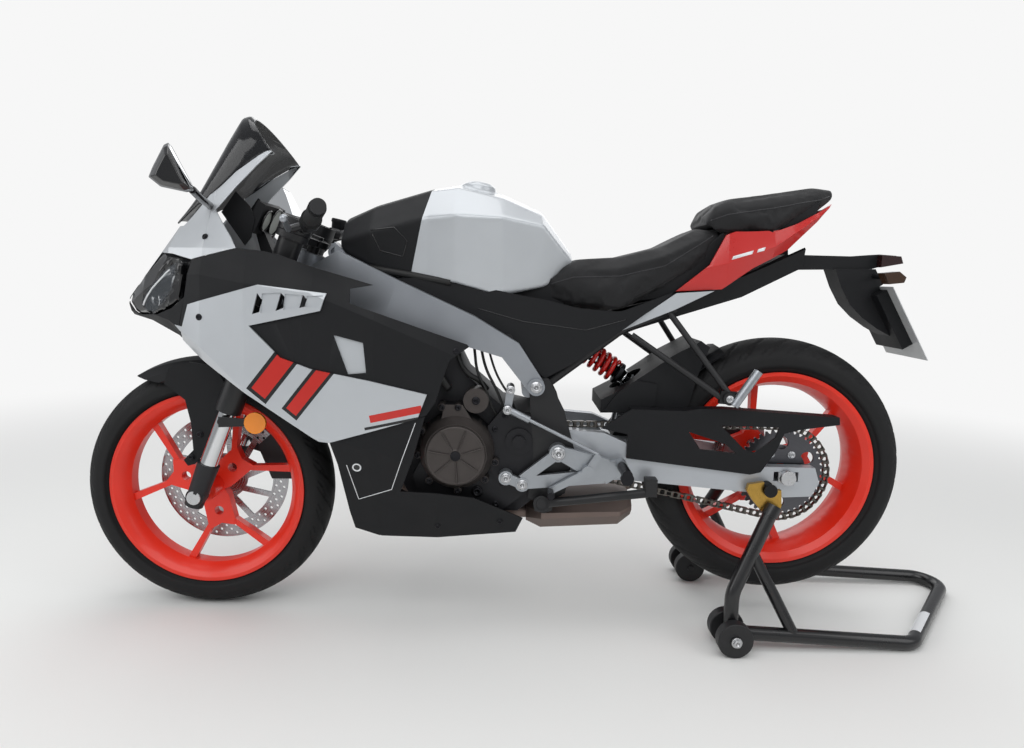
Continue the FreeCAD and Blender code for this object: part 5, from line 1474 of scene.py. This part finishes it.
@dataclass
class Trims:
    """Seats, seams, stripes and the small painted or stuck-on parts."""

    laid: tuple[Laid, ...] = (
        Seam("rider_seat_seam", "rider_seat_pad", (
            (775, 790), (850, 815), (950, 820), (1050, 845), (1130, 895), (1168, 920)), THREAD, radius_mm=1.2),
        Seam("passenger_seat_seam", "passenger_seat_pad", (
            (1152, 948), (1184, 960), (1290, 978), (1395, 1000), (1432, 1014)), THREAD, radius_mm=1.2),
        Patch("tail_bar_long", "tail_fairing", ((1196, 862), (1240, 876), (1243, 884), (1199, 870)), WHITE_TRIM),
        Patch("tail_bar_short", "tail_fairing", ((1250, 879), (1266, 884), (1269, 892), (1253, 887)), WHITE_TRIM),
        Seam("belly_pinstripe", "belly_pan", (
            (516, 500), (462, 345), (388, 318), (366, 412)), WHITE_TRIM, radius_mm=0.9),
        Seam("cover_inset_edge", "tank_skin", (
            (404, 905), (456, 912), (484, 884), (474, 850), (424, 862), (404, 905)), GLOSS_BLACK, radius_mm=1.4),
        Seam("side_cover_fold", "side_covers", (
            (640, 742), (740, 716), (880, 700), (980, 728)), GLOSS_BLACK, radius_mm=1.2))
    # columns: x, y, z
    seal: tuple[Point, ...] = (
        (398, 106, 824), (440, 110, 818), (490, 114, 811), (530, 117, 804), (580, 124, 797))
    # columns: half width, corners in the side view
    bases: tuple[tuple[float, Corners], ...] = (
        (80, ((1222, 944), (1268, 921), (1352, 944), (1388, 968), (1394, 996), (1323, 990), (1241, 958))),
        (88, ((590, 812), (600, 768), (700, 752), (830, 752), (905, 790), (860, 812))),
        (84, ((925, 776), (950, 758), (1052, 773), (1118, 804), (1186, 888), (1184, 926), (1116, 862),
              (1000, 812))))
    # columns: radius, then x, y, z of each point
    hose_runs: tuple[tuple[float, tuple[Point, ...]], ...] = (
        (3.2, ((626, -100, 704), (634, -104, 650), (640, -118, 600), (664, -132, 560), (676, -128, 520),
               (690, -120, 500))),
        (3.2, ((640, -98, 704), (648, -104, 654), (660, -114, 606), (684, -126, 566), (700, -126, 530),
               (704, -118, 508))),
        (2.6, ((654, -96, 700), (664, -102, 654), (680, -112, 604), (698, -120, 572), (716, -118, 548),
               (730, -110, 512))),
        (9.0, ((560, -100, 640), (556, -120, 612), (560, -128, 584), (580, -120, 560))),
        (6.0, ((596, -98, 650), (600, -118, 622), (620, -126, 596), (650, -118, 580), (664, -106, 560))))
    # columns: panel, x, z, True for a white-ringed eyelet and False for a stud
    eyelet_spots: tuple[tuple[str, float, float, bool], ...] = (
        ("belly_pan", 390, 398, True), ("belly_pan", 560, 250, False), ("belly_pan", 700, 262, False),
        ("side_fairings", 520, 560, False), ("side_fairings", 600, 655, False),
        ("fairing_blades", 60, 712, False), ("nose_fairing", 60, 880, False))

    def build(self) -> None:
        """Makes the pads, then what lies on them and on the panels."""
        Cushion("rider_seat").build()
        Cushion("passenger_seat", cap_mm=6.0).build()
        for piece in self.laid:
            piece.build()
        self.seals()
        self.seat_bases()
        self.generator_ribs()
        self.hoses()
        self.tyre_marks()
        self.eyelets()

    def seals(self) -> None:
        """Rubber seals between the tank covers and the side covers."""
        mesh = bmesh.new()
        for side in (-1, 1):
            add_tube(mesh, [place(x, side * y, z) for x, y, z in self.seal], 8, 10)
        plain_piece("cover_seals", mesh, HOSE)

    def seat_bases(self) -> None:
        """Moulded bases below both pads, which close the gaps to the panels."""
        mesh = bmesh.new()
        for half, outline in self.bases:
            add_loft(mesh, [[place(x, y, z) for x, z in outline] for y in (-half, half)])
        plain_piece("seat_bases", mesh, BLACK_ABS, round_mm=2.0)

    def generator_ribs(self) -> None:
        """The flat disc with seven cast ribs and a dark hub over the generator."""
        at = stand_at(place(600, -176, 423), LEFT)
        disc, hub = bmesh.new(), bmesh.new()
        add_turned(disc, ((-5, 65), (6, 65.5), (8.8, 63.5), (8.8, 59), (7, 57), (7, 15), (9, 14), (9.4, 12)),
                   72, at)
        add_turned(hub, ((6, 11.5), (10.8, 11.2), (11.2, 9.5), (9.8, 7), (9.8, 3)), 32, at)
        for turn in full_turn(7):
            turned = at @ Matrix.Rotation(turn + 0.3, 4, "Z")
            add_loft(disc, [[turned @ (Vector((u, v * narrow, z)) * MM) for u, v in (
                (13, -1.8), (60, -2.6), (60, 2.6), (13, 1.8))] for narrow, z in ((1.0, 6), (0.55, 10.4))])
        plain_piece("generator_disc", disc, COVER_BROWN)
        plain_piece("generator_hub", hub, BOLT_BLACK)

    def hoses(self) -> None:
        """Cables, a coolant hose and wiring that lie over the engine's left side."""
        mesh = bmesh.new()
        for radius, points in self.hose_runs:
            curve = bpy.data.curves.new("route", "CURVE")
            curve.dimensions = "3D"
            spline = curve.splines.new("NURBS")
            spline.points.add(len(points) - 1)
            for point, spot in zip(spline.points, points):
                point.co = (*place(*spot), 1.0)
            spline.order_u = 3
            spline.use_endpoint_u = True
            curve.resolution_u = 6
            holder = bpy.data.objects.new("route", curve)
            bpy.context.scene.collection.objects.link(holder)
            graph = bpy.context.evaluated_depsgraph_get()
            line = bpy.data.meshes.new_from_object(holder.evaluated_get(graph))
            add_tube(mesh, [v.co.copy() for v in line.vertices], radius, 10)
            bpy.data.objects.remove(holder)
        plain_piece("engine_hoses", mesh, HOSE)

    def tyre_marks(self) -> None:
        """One white dash of paint on each tyre's left wall."""
        for name, axle, x, z in (("front", FRONT_AXLE, 39, 51), ("rear", REAR_AXLE, 1554, 261)):
            out = Vector((x - axle[0], z - axle[1])).normalized()
            along = Vector((-out.y, out.x))
            spots = [Vector((x, z)) + along * u + out * v for u, v in ((-11, -3), (11, -3), (11, 3), (-11, 3))]
            Patch(name + "_wheel_mark", name + "_tyre", tuple((spot.x, spot.y) for spot in spots), WHITE_TRIM,
                  name + "_wheel", (-1,), 0.4, 5.0).build()

    def eyelets(self) -> None:
        """White-ringed eyelets in the belly panel and the panels' own fasteners."""
        rings, cores, studs = bmesh.new(), bmesh.new(), []
        for node, x, z, ringed in self.eyelet_spots:
            tree = surface_of(node)
            for found in (meet(tree, x, z, side) for side in (-1, 1)):
                if found and ringed:
                    add_turned(rings, ((-0.5, 10), (1.6, 10), (2.2, 8.5), (0.8, 7)), 28, stand_at(*found))
                    add_turned(cores, ((-0.5, 7), (0.9, 6.8)), 24, stand_at(*found))
                elif found:
                    studs.append((*found, 1.0))
        plain_piece("eyelet_rings", rings, WHITE_TRIM)
        plain_piece("eyelet_cores", cores, GLOSS_BLACK)
        Repeat("panel_studs", "chassis", BOLT_BLACK, bolt_shape(16, 3.2), studs).build()


@dataclass
class Stage:
    """Camera, lamps and floor."""

    camera_at: Point = (704.43, -1700.37, 816.62)
    yaw: float = 0.5328
    pitch: float = 7.8929
    roll: float = 1.5275
    lens: float = 25.123
    # columns: x, y, z, aim x, aim z, width, height, power
    lamps: tuple[tuple[float, ...], ...] = (
        (200, -2600, 2700, 700, 500, 3200, 1800, 40),
        (700, 300, 3400, 700, 500, 3600, 2600, 46),
        (2900, -1200, 1700, 900, 500, 1600, 1600, 12),
        (-1800, -900, 1500, 300, 600, 1600, 1600, 14),
        (700, 2800, 1800, 700, 500, 3200, 1600, 20))

    def build(self) -> None:
        """Makes the stage."""
        self.make_camera()
        for index, (x, y, z, aim_x, aim_z, width, height, power) in enumerate(self.lamps):
            lamp = bpy.data.lights.new("softbox_%d" % index, "AREA")
            lamp.shape = "RECTANGLE"
            lamp.size = width * MM
            lamp.size_y = height * MM
            lamp.energy = power
            holder = bpy.data.objects.new(lamp.name, lamp)
            holder.location = place(x, y, z)
            aim = place(aim_x, 0, aim_z) - holder.location
            holder.rotation_euler = aim.to_track_quat("-Z", "Y").to_euler()
            bpy.context.scene.collection.objects.link(holder)
        self.make_world()
        self.make_floor()

    def make_camera(self) -> None:
        """The camera at the photo's place, with the photo's field of view."""
        yaw, pitch, roll = radians(self.yaw), radians(self.pitch), radians(self.roll)
        ahead = Vector((sin(yaw) * cos(pitch), cos(yaw) * cos(pitch), -sin(pitch)))
        right = Vector((cos(yaw), -sin(yaw), 0))
        up = right.cross(ahead)
        right_now = right * cos(roll) + up * sin(roll)
        up_now = up * cos(roll) - right * sin(roll)
        data = bpy.data.cameras.new("photo_camera")
        data.lens = self.lens
        data.sensor_width = 36
        camera = bpy.data.objects.new("photo_camera", data)
        turn = Matrix((right_now, up_now, -ahead)).transposed().to_4x4()
        camera.matrix_world = Matrix.Translation(place(*self.camera_at)) @ turn
        bpy.context.scene.collection.objects.link(camera)
        bpy.context.scene.camera = camera

    def make_world(self) -> None:
        """A soft even sky that shows white behind the object and in its reflections."""
        world = bpy.data.worlds.new("soft_sky")
        bpy.context.scene.world = world
        world.use_nodes = True
        tree = world.node_tree
        tree.nodes.clear()
        paths = add_node(tree, "ShaderNodeLightPath").outputs
        seen = add_node(tree, "ShaderNodeMath", operation="MAXIMUM",
                        links={0: paths["Is Camera Ray"], 1: paths["Is Transmission Ray"]})
        dim = add_node(tree, "ShaderNodeBackground", values={0: (0.95, 0.97, 1.0, 1.0), 1: 0.4})
        white = add_node(tree, "ShaderNodeBackground", values={0: WHITE, 1: WHITE_LEVEL})
        both = add_node(tree, "ShaderNodeMixShader", links={0: seen, 1: dim, 2: white})
        add_node(tree, "ShaderNodeOutputWorld", links={0: both})

    def make_floor(self) -> None:
        """The pale floor."""
        mesh = bmesh.new()
        corners = [place(x, y, -0.5) for x, y in ((-9000, -9000), (10000, -9000), (10000, 12000), (-9000, 12000))]
        mesh.faces.new([mesh.verts.new(p) for p in corners])
        floor = new_object("pale_floor", mesh, [FLOOR])
        self.fade_floor(floor.data.materials[0].node_tree)

    @staticmethod
    def fade_floor(tree: Tree) -> None:
        """Lets the far floor pass into the white background.

        Args:
            tree: the floor material's tree.
        """
        out, shader = [next(n for n in tree.nodes if n.bl_idname == kind)
                       for kind in ("ShaderNodeOutputMaterial", "ShaderNodeBsdfPrincipled")]
        spot = add_node(tree, "ShaderNodeTexCoord").outputs["Object"]
        far = add_node(tree, "ShaderNodeVectorMath", operation="LENGTH", links={0: spot})
        # from 1.3 m to 4.2 m off the middle
        share = add_node(tree, "ShaderNodeMapRange", interpolation_type="SMOOTHSTEP",
                         values={1: 1.3, 2: 4.2, 3: 0.0, 4: 1.0}, links={0: far.outputs["Value"]})
        seen = add_node(tree, "ShaderNodeLightPath").outputs["Is Camera Ray"]
        both = add_node(tree, "ShaderNodeMath", operation="MULTIPLY", links={0: share, 1: seen})
        white = add_node(tree, "ShaderNodeEmission", values={0: WHITE, 1: WHITE_LEVEL})
        mixed = add_node(tree, "ShaderNodeMixShader", links={0: both, 1: shader, 2: white})
        tree.links.new(mixed.outputs[0], out.inputs[0])


def fork_zone(spot: Vector) -> int:
    """Finish index along a fork leg: 0 black outer tube, 1 bright inner tube, 2 cast foot, 3 reflector.

    Args:
        spot: the face's centre in the bike's mm, as in each of these functions.

    Returns:
        The index.
    """
    along = spot.x * sin(RAKE) + (spot.z - FRONT_AXLE[1]) * cos(RAKE)
    if abs(spot.y) > 129 and (spot - Vector((149, spot.y, 474))).length < 26:
        return 3
    if along > 214 or abs(spot.y) > 126:
        return 0
    return 1 if along > 83 else 2


def cover_zone(spot: Vector) -> int:
    """Finish index on the engine's covers: 1 for the round covers, 0 for the dark cases.

    Args:
        spot: the face's centre.

    Returns:
        The index.
    """
    round_left = spot.y < -128 and hypot(spot.x - 600, spot.z - 423) < 90
    starter = spot.y < -105 and hypot(spot.x - 641, spot.z - 540) < 30
    round_right = spot.y > 104 and hypot(spot.x - 630, spot.z - 430) < 84
    return 1 if round_left or starter or round_right else 0


def frame_zone(spot: Vector) -> int:
    """Finish index on the frame: 1 for the black plates at the swingarm pivot, 0 for the silver spars."""
    plate_top = spot.z < 596 and 117 < abs(spot.y) < 135 and 788 < spot.x < 812
    return 1 if spot.z < 556 or plate_top else 0


def bar_zone(spot: Vector) -> int:
    """Finish index on the bars: 1 rubber grip, 2 bright lever, 0 elsewhere.

    Args:
        spot: the face's centre.

    Returns:
        The index.
    """
    inner, end = Vector((268, 128, 905)), Vector((357, 372, 931))
    here = Vector((spot.x, abs(spot.y), spot.z))
    line = (end - inner).normalized()
    along = (here - inner).dot(line)
    if 121 < along < 244 and (here - inner - line * along).length < 19:
        return 1
    pivot = inner + line * 62 + Vector((-40, 8, -14))
    reach = (end + Vector((-70, -22, -22)) - pivot).normalized()
    far = (here - pivot).dot(reach)
    return 2 if far > 4 and (here - pivot - reach * far).length < 9 else 0


def peg_zone(spot: Vector) -> int:
    """Finish index on the passenger pegs: 1 for the folded cast peg, 0 for its black hanger.

    Args:
        spot: the face's centre.

    Returns:
        The index.
    """
    low, top = Vector((1206, 164, 545)), Vector((1256, 160, 622))
    line = (top - low).normalized()
    off = Vector((spot.x, abs(spot.y), spot.z)) - low
    return 1 if (off - line * off.dot(line)).length < 11.5 else 0


def stand_zone(spot: Vector) -> int:
    """Finish index on the stand: 1 for the yellow-passivated hooks, 0 for the enamelled tube."""
    return 1 if spot.z > 290 and 139 < abs(spot.y) < 153 and spot.x < 1335 else 0


def lamp_zone(spot: Vector) -> int:
    """Finish index on the rear lamps: 0 tail lamp, 1 indicator lens, 2 black stalk."""
    side = abs(spot.y)
    return 0 if side < 49 and spot.z > 850 else 1 if side > 103 else 2


def gear_zone(spot: Vector) -> int:
    """Finish index on the rearsets: 1 for the black pegs, 0 for bright plates and rods."""
    return 1 if abs(spot.y) > 176 else 0


def seat_zone(spot: Vector) -> int:
    """Finish index on the undertray: 1 for the pale side trims, 0 elsewhere."""
    return 1 if abs(spot.y) > 97 else 0


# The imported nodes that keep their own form
DRESSED = (
    NodeDress("rear_sprocket", SPROCKET, 0.4, 1, body="rear_wheel"),
    NodeDress("fork_legs", SATIN_BLACK, body="steering", more=(CHROME, CAST_BLACK, AMBER), pick=fork_zone),
    NodeDress("fork_yokes", SATIN_BLACK, 2.0, body="steering"),
    NodeDress("handlebars", SATIN_BLACK, body="steering", more=(GRIP_RUBBER, BRIGHT_ALUMINIUM), pick=bar_zone),
    NodeDress("front_mudguard", BLACK_ABS, 1.2, body="steering"),
    NodeDress("front_axle", ZINC, body="steering"),
    NodeDress("front_caliper", CAST_BLACK, 2.0, body="steering"),
    NodeDress("brake_hose", HOSE, 0, body="steering"),
    NodeDress("main_frame", FRAME_SILVER, 3.5, 3, more=(BLACK_STEEL,), pick=frame_zone),
    NodeDress("seat_subframe", BLACK_STEEL, 0.6),
    NodeDress("engine_block", ENGINE_GREY, 3.0),
    NodeDress("engine_covers", COVER_GREY, 2.0, 3, more=(COVER_BROWN,), pick=cover_zone),
    NodeDress("radiator", RADIATOR_BLACK, 1.5),
    NodeDress("exhaust", EXHAUST, 3.0, 3),
    NodeDress("swingarm", SWINGARM_SILVER, 2.5, 3, facet_mm=8),
    NodeDress("rear_axle", ZINC),
    NodeDress("stand_spools", BLACK_ABS, 0.8),
    NodeDress("rear_caliper", CAST_BLACK, 2.0),
    NodeDress("chain_guard", BLACK_ABS, 1.2),
    NodeDress("hugger", BLACK_ABS),
    NodeDress("rearsets", BRIGHT_ALUMINIUM, 1.2, more=(BOLT_BLACK,), pick=gear_zone),
    NodeDress("passenger_pegs", BLACK_STEEL, 0.8, more=(BRIGHT_ALUMINIUM,), pick=peg_zone),
    NodeDress("nose_fairing", SILVER_PAINT, 1.6, 2, 24, facet_mm=16),
    NodeDress("nose_chin", BLACK_ABS, 1.2, 2, 24, facet_mm=10),
    NodeDress("side_fairings", BLACK_ABS, 1.2, 2, 24, facet_mm=16),
    NodeDress("fairing_blades", BLADE_PAINT, 1.6, 2, 24, facet_mm=12),
    NodeDress("belly_pan", BLACK_ABS, 1.2, 2, 24, facet_mm=14),
    NodeDress("instrument_panel", BLACK_ABS, 1.5),
    NodeDress("side_covers", BLACK_ABS, facet_mm=14),
    NodeDress("tail_fairing", TAIL_PAINT, 1.2, 2, 24, facet_mm=12),
    NodeDress("undertray", BLACK_ABS, more=(SILVER_PAINT,), pick=seat_zone),
    NodeDress("plate_holder", BLACK_ABS, 1.5),
    # the number plate's light grey colour is painted shade on a white sheet
    NodeDress("number_plate", PLATE_WITH_PAINTED_SHADE, 0.5),
    NodeDress("rear_lamps", SMOKED_RED, 2.0, more=(SMOKED_AMBER, BLACK_ABS), pick=lamp_zone),
    NodeDress("side_stand", BLACK_STEEL, 1.5, body="side_stand_leg"),
    NodeDress("stand_rollers_left", ROLLER, 2.5, 3, body="left_rollers"),
    NodeDress("stand_rollers_right", ROLLER, 2.5, 3, body="right_rollers"),
    NodeDress("paddock_stand", STAND_BLACK, 0.8, more=(BRASS,), pick=stand_zone),
    Perforated("front_disc", "front_wheel", FRONT_AXLE, 66, FRONT_DISC, (
        (131, 36, 3.6, 0), (141, 36, 3.6, 5), (151, 36, 3.6, 0))),
    Perforated("rear_disc", "rear_wheel", REAR_AXLE, 74, REAR_DISC, ((90, 24, 3.4, 0), (101, 24, 3.4, 7.5))),
)


def main() -> None:
    """Builds the dressed bike in order."""
    logging.basicConfig(level=logging.INFO, format="%(message)s")
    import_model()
    bpy.context.scene.view_settings.view_transform = "Standard"
    wheels = (Wheel("front", FRONT_AXLE, 292.9, 110, 94), Wheel("rear", REAR_AXLE, 305.9, 150, 132))
    tank = Smoothed("tank_skin", ("fuel_tank_cover", "tank_front_cover"), BLACK_ABS, SILVER_PAINT)
    for part in (Stage(), *wheels, *DRESSED, Chain(), Shock(), tank, Screen(), Mirrors(), HeadLamp(), Cockpit(),
                 StandLabel(), Fasteners(), Trims()):
        part.build()


if __name__ == "__main__":
    main()
